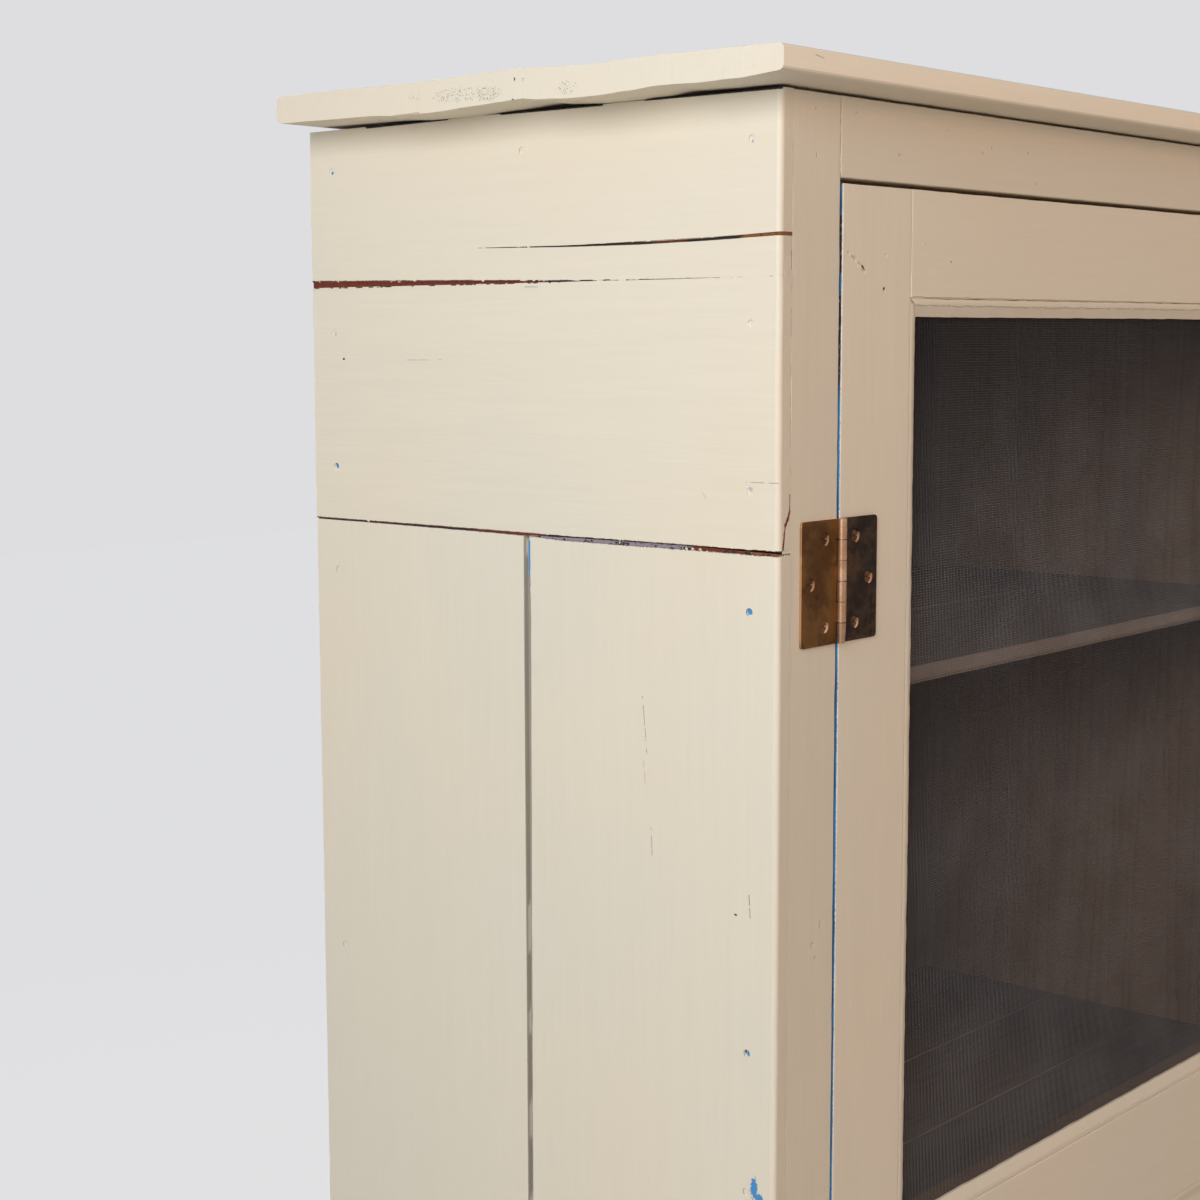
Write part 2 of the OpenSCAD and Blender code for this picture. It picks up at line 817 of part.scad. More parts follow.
// The screen is drawn as a coarse grid of flat bars
module wire_screen() {
    h = screen_h - 2 * panel_play;
    pitch_x = (screen_w - screen_bar) / screen_nx;
    pitch_z = (h - screen_bar) / screen_nz;
    color(wire) in_case() translate([field_x0 + panel_play, mould_d, screen_z0 + panel_play])
        front_sheet(screen_t) difference() {
            square([screen_w, h]);
            for (i = [0:screen_nx - 1])
                for (k = [0:screen_nz - 1])
                    translate([screen_bar + i * pitch_x, screen_bar + k * pitch_z])
                        square([pitch_x - screen_bar, pitch_z - screen_bar]);
        }
}

// Cross-section of a moulding, depth first, from its outer edge down: a fine bead and then a bevel
module moulding_section() {
    bead = [for (a = [0:2 * arc_step:180]) [quirk * (1 - sin(a)), -bead_w / 2 * (1 - cos(a))]];
    polygon(concat(bead, [[bevel_d, -mould_w], [mould_d, -mould_w], [mould_d, 0]]));
}

module rear_bead_section(y0, y1) {
    polygon([[y0, 0], [y0, -mould_w], [y1, -mould_w], [y1, 0]]);
}

// A strip of length l along X with mitred ends, its outer edge at z = 0
module mitred_strip(l) {
    cut = mitre_gap / 2;
    intersection() {
        side_sheet(l) children();
        translate([0, -over, 0]) front_sheet(door_t + 2 * over)
            polygon([[cut, 0], [l - cut, 0], [l - cut - mould_w, -mould_w], [cut + mould_w, -mould_w]]);
    }
}

module top_strip(z1) {
    translate([field_x0, 0, z1]) mitred_strip(field_x1 - field_x0) children();
}

module bottom_strip(z0) {
    translate([field_x0, 0, z0]) mirror([0, 0, 1]) mitred_strip(field_x1 - field_x0) children();
}

module left_strip(z0, z1) {
    translate([field_x0, 0, z0]) rotate([0, -90, 0]) mitred_strip(z1 - z0) children();
}

module right_strip(z0, z1) {
    opposite() left_strip(z0, z1) children();
}

module screen_moulding_top() {
    color(shaded_cream) in_case() top_strip(screen_z1) moulding_section();
}

module screen_moulding_bottom() {
    color(shaded_cream) in_case() bottom_strip(screen_z0) moulding_section();
}

module screen_moulding_left() {
    color(shaded_cream) in_case() left_strip(screen_z0, screen_z1) moulding_section();
}

module screen_moulding_right() {
    color(shaded_cream) in_case() right_strip(screen_z0, screen_z1) moulding_section();
}

module panel_mouldings() {
    color(shaded_cream) in_case() strip_frame(panel_z0, panel_z1) moulding_section();
}

// Four mitred strips round an opening of the door
module strip_frame(z0, z1) {
    top_strip(z1) children();
    bottom_strip(z0) children();
    left_strip(z0, z1) children();
    right_strip(z0, z1) children();
}

module rear_beads() {
    y1 = mould_d + screen_t;
    color(bare_wood) in_case() {
        strip_frame(screen_z0, screen_z1) rear_bead_section(y1, y1 + rear_bead_d);
        strip_frame(panel_z0, panel_z1)
            rear_bead_section(mould_d + panel_t, screen_t + mould_d + rear_bead_d);
    }
}

// A hinge leaf to the right of the pin's axis, its back on the plane y = 0. The knuckles count from
// the top, and first is the number of the leaf's first one
module hinge_leaf(first) {
    inner_x = barrel_r + leaf_clear;
    difference() {
        union() {
            translate([0, -leaf_t, 0]) front_sheet(leaf_t) leaf_outline(inner_x);
            for (k = [first:2:knuckles - 1]) knuckle(k, inner_x);
        }
        translate([0, -barrel_r, -over])
            cylinder(r = pin_r + pin_fit, h = hinge_h + 2 * over, $fn = metal_fn);
        for (hole = [[screw_near, screw_rise], [screw_far, 0], [screw_near, -screw_rise]])
            translate([hole[0], -leaf_t, hinge_h / 2 + hole[1]]) rotate([-90, 0, 0]) {
                cylinder(r1 = screw_head_r + screw_ring, r2 = screw_r, h = screw_cone + screw_sink,
                    $fn = metal_fn);
                translate([0, 0, -over]) cylinder(r = screw_r, h = leaf_t + 2 * over, $fn = metal_fn);
            }
    }
}

module leaf_outline(x0) {
    square_w = leaf_w - leaf_corner;
    translate([x0, 0]) square([square_w - x0, hinge_h]);
    translate([square_w - over, leaf_corner]) square([leaf_corner + over, hinge_h - 2 * leaf_corner]);
    for (z = [leaf_corner, hinge_h - leaf_corner])
        translate([square_w, z]) circle(r = leaf_corner, $fn = round_fn);
}

module knuckle(k, inner_x) {
    on_door = k % 2 == 1;
    gap_above = k == 0 ? 0 : on_door ? knuckle_open : knuckle_close;
    gap_below = k == knuckles - 1 ? 0 : on_door ? knuckle_close : knuckle_open;
    z0 = hinge_h - (k + 1) * knuckle_h + gap_below / 2;
    z1 = hinge_h - k * knuckle_h - gap_above / 2;
    low_r = k == knuckles - 1 ? knuckle_tip_r : barrel_r;
    translate([0, -barrel_r, z0]) cylinder(r1 = low_r, r2 = barrel_r, h = z1 - z0, $fn = metal_fn);
    block([0, -leaf_t, z0], [inner_x + over, 0, z1]);
}

module frame_leaf(z0) {
    color(brass) in_case() translate([hinge_x, 0, z0]) mirror([1, 0, 0]) hinge_leaf(0);
}

module door_leaf(z0) {
    color(brass) in_case() translate([hinge_x, 0, z0]) hinge_leaf(1);
}

module upper_hinge_frame_leaf() {
    frame_leaf(upper_hinge_z);
}

module upper_hinge_door_leaf() {
    door_leaf(upper_hinge_z);
}

module lower_hinge_frame_leaf() {
    frame_leaf(lower_hinge_z);
}

module lower_hinge_door_leaf() {
    door_leaf(lower_hinge_z);
}

module hinge_pins() {
    color(brass) in_case() for (z0 = [lower_hinge_z, upper_hinge_z])
        translate([hinge_x, -barrel_r, z0 + pin_fit])
            cylinder(r = pin_r, h = hinge_h - 2 * pin_fit, $fn = metal_fn);
}

module slotted_screw() {
    difference() {
        screw_body();
        block([-screw_head_r - over, screw_sink - over, -slot_w / 2],
            [screw_head_r + over, screw_sink + slot_d, slot_w / 2]);
    }
}

module frame_hinge_screws() {
    color(brass) in_case() at_hinge_screws(-1) slotted_screw();
}

module door_hinge_screws() {
    color(brass) in_case() at_hinge_screws(1) slotted_screw();
}

// The knob's axis leaves the middle of the lock stile's face
module at_knob() {
    translate([(field_x1 + door_x1) / 2, 0, latch_z]) rotate([90, 0, 0]) children();
}

module knob() {
    head_z = knob_l - knob_head_h / 2;
    first_a = -acos(knob_neck_r / knob_r);
    neck_z = head_z + knob_head_h / 2 * sin(first_a);
    cove = [for (a = [0:arc_step:90]) [knob_neck_r + (knob_foot_r - knob_neck_r) * (1 - sin(a)),
        knob_foot_t + (neck_z - knob_foot_t) * (1 - cos(a))]];
    head = [for (i = [1:head_steps]) let (a = first_a + (90 - first_a) * i / head_steps)
        [knob_r * cos(a), head_z + knob_head_h / 2 * sin(a)]];
    color("#5b4630") in_case() at_knob() rotate_extrude($fn = metal_fn)
        polygon(concat([[0, -door_t], [knob_shank_r, -door_t], [knob_shank_r, 0], [knob_foot_r, 0]],
            cove, head));
}

// The turn button's pivot on the right post, at the face of the case
module at_pivot() {
    translate([case_w - opening_x + button_pivot, 0, latch_z]) children();
}

module button_outline() {
    r = button_w / 2;
    difference() {
        union() {
            translate([-r, r - button_tail]) square([button_w, button_reach + button_tail - button_w]);
            translate([0, button_reach - r]) circle(r = r, $fn = metal_fn);
            translate([0, r - button_tail]) circle(r = r, $fn = metal_fn);
        }
        circle(r = pivot_r + pivot_fit, $fn = metal_fn);
    }
}

module turn_button() {
    color(shaded_cream) in_case() at_pivot() translate([0, -button_clear - button_t, 0])
        front_sheet(button_t) button_outline();
}

module turn_button_screw() {
    head_y = button_t + 2 * button_clear;
    head = [for (a = [0:arc_step:90]) [pivot_head_r * cos(a), head_y + pivot_head_t * sin(a)]];
    color(brass) in_case() at_pivot() difference() {
        rotate([90, 0, 0]) rotate_extrude($fn = metal_fn)
            polygon(concat([[0, -pivot_l], [pivot_r, -pivot_l], [pivot_r, head_y]], head));
        block([-pivot_head_r - over, -head_y - pivot_head_t - over, -slot_w / 2],
            [pivot_head_r + over, slot_d - head_y - pivot_head_t, slot_w / 2]);
    }
}

module top_plank_front() {
    top_plank([-top_front_over, front_top_joint - top_joint_gap / 2], front_rest_y, top_t,
        [nose_lift, front_plank_lift], [top_round, joint_round]);
}

module top_plank_middle() {
    top_plank([front_top_joint + top_joint_gap / 2, rear_top_joint - top_joint_gap / 2], middle_rest_y,
        top_t, [middle_plank_lift, joint_lift], [joint_round, joint_round]);
}

module top_plank_rear() {
    top_plank([rear_top_joint + top_joint_gap / 2, case_d - top_back_short], rear_rest_y, rear_top_t,
        [joint_lift, rear_lift], [joint_round, top_round]);
}

module back_plank_1() {
    back_plank(0);
}

module back_plank_2() {
    back_plank(1);
}

module back_plank_3() {
    back_plank(2);
}

module back_plank_4() {
    back_plank(3);
}

top_plank_front();
top_plank_middle();
top_plank_rear();
left_upper_board();
left_middle_board();
left_front_plank();
left_rear_plank();
right_front_plank();
right_centre_plank();
right_rear_plank();
front_post_left();
front_post_right();
rear_post_left();
rear_post_right();
front_top_rail();
front_bottom_rail();
rear_top_rail();
rear_bottom_rail();
back_plank_1();
back_plank_2();
back_plank_3();
back_plank_4();
top_cleats();
shelf_cleats();
upper_shelf_front_board();
upper_shelf_rear_board();
middle_shelf_front_board();
middle_shelf_centre_board();
middle_shelf_rear_board();
lower_shelf_front_board();
lower_shelf_rear_board();
floor_front_board();
floor_rear_board();
door_stop();
side_nails();
door_hinge_stile();
door_lock_stile();
door_top_rail();
door_middle_rail();
door_bottom_rail();
door_panel();
wire_screen();
screen_moulding_top();
screen_moulding_bottom();
screen_moulding_left();
screen_moulding_right();
panel_mouldings();
rear_beads();
upper_hinge_frame_leaf();
upper_hinge_door_leaf();
lower_hinge_frame_leaf();
lower_hinge_door_leaf();
hinge_pins();
frame_hinge_screws();
door_hinge_screws();
knob();
turn_button();
turn_button_screw();
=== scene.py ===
"""The looks of a narrow armoire: old cream paint over pine boards, a wire screen in the door, brass hinges."""

import json  # noqa: E402
import math  # noqa: E402
import random  # noqa: E402

import bmesh  # noqa: E402
import bpy  # noqa: E402
from mathutils import Matrix, Vector, noise  # noqa: E402
from mathutils.bvhtree import BVHTree  # noqa: E402

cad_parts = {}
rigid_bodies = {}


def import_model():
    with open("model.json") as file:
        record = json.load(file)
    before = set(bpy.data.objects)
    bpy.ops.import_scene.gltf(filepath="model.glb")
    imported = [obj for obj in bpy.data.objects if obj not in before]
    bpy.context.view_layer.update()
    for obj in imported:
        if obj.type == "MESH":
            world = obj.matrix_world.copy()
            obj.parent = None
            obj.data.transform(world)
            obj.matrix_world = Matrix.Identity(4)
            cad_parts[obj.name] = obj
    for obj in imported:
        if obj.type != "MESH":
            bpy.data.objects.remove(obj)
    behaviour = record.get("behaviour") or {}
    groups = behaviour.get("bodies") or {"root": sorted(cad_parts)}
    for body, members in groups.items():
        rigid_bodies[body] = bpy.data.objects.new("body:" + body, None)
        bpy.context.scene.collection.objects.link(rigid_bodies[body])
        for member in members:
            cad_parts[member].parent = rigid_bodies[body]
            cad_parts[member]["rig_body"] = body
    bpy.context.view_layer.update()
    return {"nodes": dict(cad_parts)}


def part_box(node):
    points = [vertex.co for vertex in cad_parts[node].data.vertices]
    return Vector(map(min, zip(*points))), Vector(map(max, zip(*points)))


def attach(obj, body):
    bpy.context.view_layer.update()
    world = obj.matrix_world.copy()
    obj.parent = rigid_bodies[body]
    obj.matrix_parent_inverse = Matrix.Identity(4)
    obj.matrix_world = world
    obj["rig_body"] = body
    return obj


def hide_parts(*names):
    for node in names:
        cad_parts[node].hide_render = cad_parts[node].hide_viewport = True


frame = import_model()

bl_info = {
    "name": "Narrow armoire",
    "version": (1, 0, 0),
    "blender": (4, 5, 0),
    "location": "3D View > Sidebar > Armoire",
    "description": "Dresses a packed armoire in old cream paint, bare pine, brass and wire screen",
    "category": "Object",
}

MM = 0.001
WELD = 1e-6
CUT_SLACK = 1e-7
FLAT_ANGLE = math.radians(0.4)
SHARP_ANGLE = math.radians(28)
SHADE_ANGLE = math.radians(34)
FAR = 10.0
# Degrees from one face to the middle of a rounded corner, where its faces are cut
CORNER_TURNS = (0, 11.25, 22.5, 33.75)
# The arrises of the CAD pieces are rounded by less than this
CAD_ROUND = 1.2 * MM

# The front left corner of the case, just under the top. Places are measured from here, in millimetres:
# x to the right, y to the rear, and the drop below the top.
CORNER = Vector(
    (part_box("left_upper_board")[0].x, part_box("front_post_left")[0].y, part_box("front_post_left")[1].z)
)

WHOLE_TURN = 2 * math.pi
ALONG = {"X": Vector((1, 0, 0)), "Y": Vector((0, 1, 0)), "Z": Vector((0, 0, 1))}
# Cells of the brush marks to the metre, along and across the stroke
STROKE_ALONG = 18.0
STROKE_ACROSS = 620.0


def place(x, y, drop):
    """A point given in millimetres from the case's corner, in the frame's metres."""
    return CORNER + Vector((x, y, -drop)) * MM


def tint(red, green, blue):
    """A colour of 0 to 255 steps as the linear values that the nodes use."""
    parts = [step / 255 for step in (red, green, blue)]
    return tuple(p / 12.92 if p <= 0.04045 else ((p + 0.055) / 1.055) ** 2.4 for p in parts)


def solid(colour):
    """A colour with its alpha, as a node's socket takes it."""
    return (*colour, 1.0)


def colour_property(label, about, colour):
    return bpy.props.FloatVectorProperty(
        name=label, description=about, subtype="COLOR", size=3, min=0, max=1, default=colour
    )


def length_property(label, about, millimetres, top=100):
    return bpy.props.FloatProperty(
        name=label,
        description=about,
        subtype="DISTANCE",
        unit="LENGTH",
        default=millimetres * MM,
        min=0,
        max=top * MM,
        precision=5,
    )


class ArmoireColours(bpy.types.PropertyGroup):
    """The colours of paint, wood and metal."""

    paint: colour_property("Cream paint", "Main colour of the paint", tint(229, 218, 196))
    warm_patch: colour_property("Warm patches", "Where the paint has yellowed", tint(230, 217, 193))
    cool_patch: colour_property("Cool patches", "Where the paint is thin and greyer", tint(226, 217, 197))
    old_blue: colour_property("Old blue paint", "Earlier coat that shows in gaps and chips", tint(72, 142, 198))
    lilac: colour_property("Joint filler", "Old grey-lilac paint in the joint", tint(146, 132, 140))
    red_wood: colour_property("Red-brown wood", "Bare wood inside the joints", tint(114, 44, 15))
    orange_wood: colour_property("Fresh split wood", "Wood in the split", tint(132, 80, 36))
    pale_pine: colour_property("Pale pine", "Early wood of the bare boards", tint(160, 126, 92))
    dark_pine: colour_property("Dark pine", "Late wood of the bare boards", tint(116, 86, 60))
    stain: colour_property("Stain", "Age and dirt in the bare boards", tint(74, 60, 50))
    knob_wood: colour_property("Knob wood", "Turned hardwood", tint(96, 56, 30))
    brass: colour_property("Brass", "Rubbed brass", tint(196, 150, 96))
    patina: colour_property("Brown patina", "Aged brass", tint(92, 58, 28))
    black_patina: colour_property("Black patina", "Darkest spots of the brass", tint(34, 24, 18))
    wire: colour_property("Screen wire", "Weathered wire", tint(111, 108, 108))
    # Also used as painted shade beside dents, in the moulding's valley and deep in the joint fillings
    shadow: colour_property("Deep crack", "Dark bottom of cracks and dents", tint(38, 26, 20))


class ArmoireWear(bpy.types.PropertyGroup):
    """How worn and uneven the pieces are."""

    corner_round: length_property("Front corner round", "Rounding of the case's front corners", 3.6)
    arris_round: length_property("Arris round", "Rounding of the painted arrises", 1.0)
    inner_round: length_property("Inner arris round", "Rounding of the bare boards' arrises", 0.6)
    wobble: length_property("Waviness", "How far the painted faces are out of true", 0.25)
    arris_wobble: length_property("Arris waviness", "How uneven the arrises are", 0.22)
    stroke_height: bpy.props.FloatProperty(
        name="Brush marks", description="Height of the brush marks in millimetres", default=0.05, min=0, max=1
    )


class ArmoireScreen(bpy.types.PropertyGroup):
    """The wire screen's weave."""

    pitch_across: length_property("Pitch across", "Distance of the upright wires", 1.78)
    pitch_up: length_property("Pitch up", "Distance of the level wires", 1.71)
    wire_radius: length_property("Wire radius", "Half the wire's thickness", 0.16)


class ArmoireStage(bpy.types.PropertyGroup):
    """The camera and the studio light."""

    lens: bpy.props.FloatProperty(name="Lens", description="Focal length in millimetres", default=64.3, min=10)
    eye: bpy.props.FloatVectorProperty(
        name="Camera place", description="Place of the camera", subtype="TRANSLATION", unit="LENGTH",
        size=3, default=(-1.38907, -0.93426, 1.4979),
    )
    yaw: bpy.props.FloatProperty(
        name="Yaw", description="Direction of the view, from +X towards +Y", subtype="ANGLE", unit="ROTATION",
        default=math.radians(41.3),
    )
    pitch: bpy.props.FloatProperty(
        name="Pitch", description="Rise of the view", subtype="ANGLE", unit="ROTATION",
        default=math.radians(-6.97),
    )
    roll: bpy.props.FloatProperty(
        name="Roll", description="Lean of the camera", subtype="ANGLE", unit="ROTATION",
        default=math.radians(-0.17),
    )
    key_power: bpy.props.FloatProperty(
        name="Window light", description="Power of the large light at the left", subtype="POWER", default=31,
        min=0,
    )
    fill_power: bpy.props.FloatProperty(
        name="Room light", description="Power of the warm light in front", subtype="POWER", default=25, min=0
    )
    rear_power: bpy.props.FloatProperty(
        name="Rear light", description="Power of the soft light behind", subtype="POWER", default=16, min=0
    )
    room_strength: bpy.props.FloatProperty(
        name="Room strength", description="Even light from all around", default=0.275, min=0
    )


# ---- Nodes ----


class Web:
    """Places nodes in one material or group and joins them."""

    def __init__(self, tree):
        self.tree = tree

    def feed(self, socket, value):
        if isinstance(value, bpy.types.NodeSocket):
            self.tree.links.new(value, socket)
        else:
            socket.default_value = value

    def put(self, kind, values, **settings):
        node = self.tree.nodes.new("ShaderNode" + kind)
        for key, value in settings.items():
            setattr(node, key, value)
        for key, value in values.items():
            self.feed(node.inputs[key], value)
        return node

    def calc(self, operation, *values, clamp=False):
        return self.put("Math", dict(enumerate(values)), operation=operation, use_clamp=clamp).outputs[0]

    def vector(self, operation, *values):
        node = self.put("VectorMath", dict(enumerate(values)), operation=operation)
        return node.outputs["Value" if operation in ("LENGTH", "DOT_PRODUCT") else "Vector"]

    def stretch(self, position, lie):
        return self.vector("MULTIPLY", position, lie)

    def speckle(self, position, scale, detail=2.0, rough=0.5, colour=False):
        node = self.put(
            "TexNoise", {"Vector": position, "Scale": scale, "Detail": detail, "Roughness": rough}
        )
        return node.outputs["Color" if colour else "Fac"]

    def ease(self, value, low, high):
        node = self.put(
            "MapRange", {"Value": value, "From Min": low, "From Max": high}, interpolation_type="SMOOTHSTEP"
        )
        return node.outputs["Result"]

    def scale(self, value, low, high):
        node = self.put("MapRange", {"Value": value, "To Min": low, "To Max": high})
        return node.outputs["Result"]

    def mix(self, share, first, second):
        node = self.put("Mix", {0: share, 6: first, 7: second}, data_type="RGBA", clamp_factor=True)
        return node.outputs[2]

    def use(self, group, values):
        node = self.tree.nodes.new("ShaderNodeGroup")
        node.node_tree = effect(group)
        for key, value in values.items():
            self.feed(node.inputs[key], value)
        return node.outputs


def brush_marks(web, inlet):
    """Streaks that the brush left along the board."""
    strokes = web.stretch(inlet["Position"], inlet["Lie"])
    fine = web.speckle(strokes, 1.0, 3, 0.62)
    broad = web.speckle(strokes, 0.31, 2, 0.5)
    return {"Streak": web.calc("ADD", web.calc("MULTIPLY", fine, 0.6), web.calc("MULTIPLY", broad, 0.4))}


def paint_tone(web, inlet):
    """Slow changes of the paint's colour."""
    patch = web.speckle(inlet["Position"], 5.0, 3, 0.55)
    veil = web.speckle(web.vector("ADD", inlet["Position"], (3.1, 1.7, 0.4)), 3.0, 2, 0.5)
    first = web.mix(web.ease(patch, 0.42, 0.68), inlet["Paint"], inlet["Warm patch"])
    return {"Colour": web.mix(web.ease(veil, 0.45, 0.7), first, inlet["Cool patch"])}


def paint_chip(web, inlet):
    """A ragged spot where the paint is off, dented or thick."""
    offset = web.vector("DIVIDE", web.vector("SUBTRACT", inlet["Position"], inlet["Centre"]), inlet["Half size"])
    rough = web.calc("SUBTRACT", web.speckle(inlet["Position"], 850.0, 3, 0.6), 0.5)
    reach = web.calc("MULTIPLY_ADD", rough, inlet["Ragged"], web.vector("LENGTH", offset))
    return {"Mask": web.ease(reach, 1.12, 0.88), "Dip": web.ease(reach, 1.2, 0.1)}


def end_pits(web, inlet):
    """Small open pits of the end grain, inside an oval."""
    offset = web.vector("DIVIDE", web.vector("SUBTRACT", inlet["Position"], inlet["Centre"]), inlet["Half size"])
    near = web.ease(web.vector("LENGTH", offset), 1.0, 0.45)
    holes = web.speckle(inlet["Position"], 1100.0, 1, 0.4)
    clusters = web.speckle(inlet["Position"], 130.0, 2, 0.5)
    amount = web.calc("MULTIPLY", web.calc("ADD", holes, web.calc("MULTIPLY", clusters, 0.25)), near)
    return {"Mask": web.ease(amount, web.calc("ADD", inlet["From"], 0.2), web.calc("ADD", inlet["From"], 0.27))}


def paint_crack(web, inlet):
    """A crack from one point to another, with ragged edges, a change of width and breaks."""
    sway = web.vector("SUBTRACT", web.speckle(inlet["Position"], 90.0, 3, 0.6, colour=True), (0.5, 0.5, 0.5))
    moved = web.vector("ADD", inlet["Position"], web.vector("SCALE", sway))
    web.feed(moved.node.inputs[1].links[0].from_node.inputs["Scale"], inlet["Sway"])
    reach = web.vector("MULTIPLY", web.vector("SUBTRACT", moved, inlet["Start"]), inlet["Flat"])
    run = web.vector("MULTIPLY", web.vector("SUBTRACT", inlet["End"], inlet["Start"]), inlet["Flat"])
    share = web.calc(
        "DIVIDE", web.vector("DOT_PRODUCT", reach, run), web.vector("DOT_PRODUCT", run, run), clamp=True
    )
    foot = web.put("VectorMath", {0: run, "Scale": share}, operation="SCALE").outputs["Vector"]
    miss = web.vector("LENGTH", web.vector("SUBTRACT", reach, foot))
    rough = web.calc("SUBTRACT", web.speckle(inlet["Position"], 720.0, 2, 0.6), 0.5)
    width = web.calc(
        "MULTIPLY_ADD", share, web.calc("SUBTRACT", inlet["End width"], inlet["Start width"]), inlet["Start width"]
    )
    edge = web.calc("MULTIPLY", width, web.calc("MULTIPLY_ADD", rough, inlet["Ragged"], 1.0))
    line = web.ease(miss, edge, web.calc("MULTIPLY", edge, 0.55))
    breaks = web.ease(web.speckle(inlet["Position"], 190.0, 2, 0.5), inlet["Breaks"],
                      web.calc("ADD", inlet["Breaks"], 0.04))
    return {"Mask": web.calc("MULTIPLY", line, breaks)}


def timber(web, inlet):
    """Year rings, fibres and stains of a bare board."""
    run = web.stretch(inlet["Position"], inlet["Lie"])
    swell = web.speckle(run, 0.35, 2, 0.5)
    phase = web.calc("MULTIPLY_ADD", swell, 5.0, web.vector("DOT_PRODUCT", run, (0.71, 0.63, 0.31)))
    ring = web.calc("POWER", web.calc("FRACT", phase), 3.0)
    fibre = web.speckle(run, 14.0, 3, 0.6)
    share = web.calc("ADD", web.calc("MULTIPLY", ring, 0.5), web.calc("MULTIPLY", fibre, 0.5))
    wood = web.mix(share, inlet["Pale"], inlet["Dark"])
    doubled = web.vector("MULTIPLY", inlet["Position"], (2, 2, 2))
    drawn = web.vector("MULTIPLY_ADD", run, (0.05, 0.05, 0.05), doubled)
    stains = web.ease(web.speckle(drawn, 1.0, 4, 0.6), 0.48, 0.78)
    return {"Colour": web.mix(web.calc("MULTIPLY", stains, 0.5), wood, inlet["Stain"]), "Height": fibre}


def old_metal(web, inlet):
    """Bright, brown and black spots of aged metal."""
    cloud = web.speckle(inlet["Position"], 55.0, 4, 0.6)
    spots = web.speckle(web.vector("ADD", inlet["Position"], (0.3, 0.7, 0.2)), 130.0, 4, 0.65)
    brown = web.mix(web.ease(cloud, 0.25, 0.62), inlet["Bright"], inlet["Brown"])
    full = web.calc("ADD", inlet["Black from"], 0.16)
    black = web.calc("MULTIPLY", web.ease(spots, inlet["Black from"], full), 0.85)
    worn = web.calc("MULTIPLY", inlet["Arris"], web.ease(cloud, 0.6, 0.4))
    return {
        "Colour": web.mix(worn, web.mix(black, brown, inlet["Black"]), inlet["Bright"]),
        "Dull": web.calc("MAXIMUM", black, web.ease(cloud, 0.4, 0.7)),
        "Height": spots,
    }


ORIGIN = (0, 0, 0)
ONES = (1, 1, 1)
WHITE = (1, 1, 1, 1)
# How each effect is built, its inputs with their values at the start, and its outputs
EFFECTS = {
    "brush_marks": (
        brush_marks, {"Position": ORIGIN, "Lie": (STROKE_ACROSS, STROKE_ACROSS, STROKE_ALONG)}, ("Streak",),
    ),
    "paint_tone": (
        paint_tone, {"Position": ORIGIN, "Paint": WHITE, "Warm patch": WHITE, "Cool patch": WHITE}, ("Colour",),
    ),
    "paint_chip": (
        paint_chip, {"Position": ORIGIN, "Centre": ORIGIN, "Half size": ONES, "Ragged": 0.5}, ("Mask", "Dip"),
    ),
    "end_pits": (
        end_pits, {"Position": ORIGIN, "Centre": ORIGIN, "Half size": ONES, "From": 0.6}, ("Mask",),
    ),
    "paint_crack": (
        paint_crack,
        {"Position": ORIGIN, "Start": ORIGIN, "End": (0, 0, 1), "Flat": ONES, "Start width": 0.001,
         "End width": 0.001, "Ragged": 0.5, "Breaks": 0.0, "Sway": 0.0},
        ("Mask",),
    ),
    "timber": (
        timber, {"Position": ORIGIN, "Lie": ONES, "Pale": WHITE, "Dark": WHITE, "Stain": WHITE},
        ("Colour", "Height"),
    ),
    "old_metal": (
        old_metal,
        {"Position": ORIGIN, "Bright": WHITE, "Brown": WHITE, "Black": WHITE, "Black from": 0.6, "Arris": 0.0},
        ("Colour", "Dull", "Height"),
    ),
}
SOCKET_KINDS = {3: "Vector", 4: "Color"}


def effect(name):
    """The node group of one of the effects, built when it is first used."""
    tree = bpy.data.node_groups.get(name)
    if tree:
        return tree
    build, takes, gives = EFFECTS[name]
    tree = bpy.data.node_groups.new(name, "ShaderNodeTree")
    for label, start in takes.items():
        kind = SOCKET_KINDS[len(start)] if isinstance(start, tuple) else "Float"
        tree.interface.new_socket(label, in_out="INPUT", socket_type="NodeSocket" + kind).default_value = start
    for label in gives:
        kind = "Color" if label == "Colour" else "Float"
        tree.interface.new_socket(label, in_out="OUTPUT", socket_type="NodeSocket" + kind)
    inlet = tree.nodes.new("NodeGroupInput").outputs
    outlet = tree.nodes.new("NodeGroupOutput").inputs
    web = Web(tree)
    for label, value in build(web, inlet).items():
        web.feed(outlet[label], value)
    return tree


# ---- Finishes ----


def made_once(build):
    """Makes a finish when its name is first asked for, and hands out the same one after that."""

    def finish(name, *values, **named):
        return bpy.data.materials.get(name) or build(name, *values, **named)

    return finish


def wear_settings():
    return bpy.context.scene.armoire_wear


def colour_settings():
    return bpy.context.scene.armoire_colours


def start_material(name):
    """A new material's web, its shader and its position in the piece."""
    material = bpy.data.materials.new(name)
    material.use_nodes = True
    web = Web(material.node_tree)
    shader = material.node_tree.nodes["Principled BSDF"]
    position = web.put("TexCoord", {}).outputs["Object"]
    return material, web, shader, position


def add_bump(web, shader, height, millimetres=1.0):
    """Height is in steps of the given millimetres."""
    bump = web.put("Bump", {"Height": height, "Distance": millimetres * MM})
    web.feed(shader.inputs["Normal"], bump.outputs["Normal"])


def lie_of(grain, along, across):
    """Scales that stretch a pattern along the grain."""
    return tuple(along if axis == grain else across for axis in "XYZ")


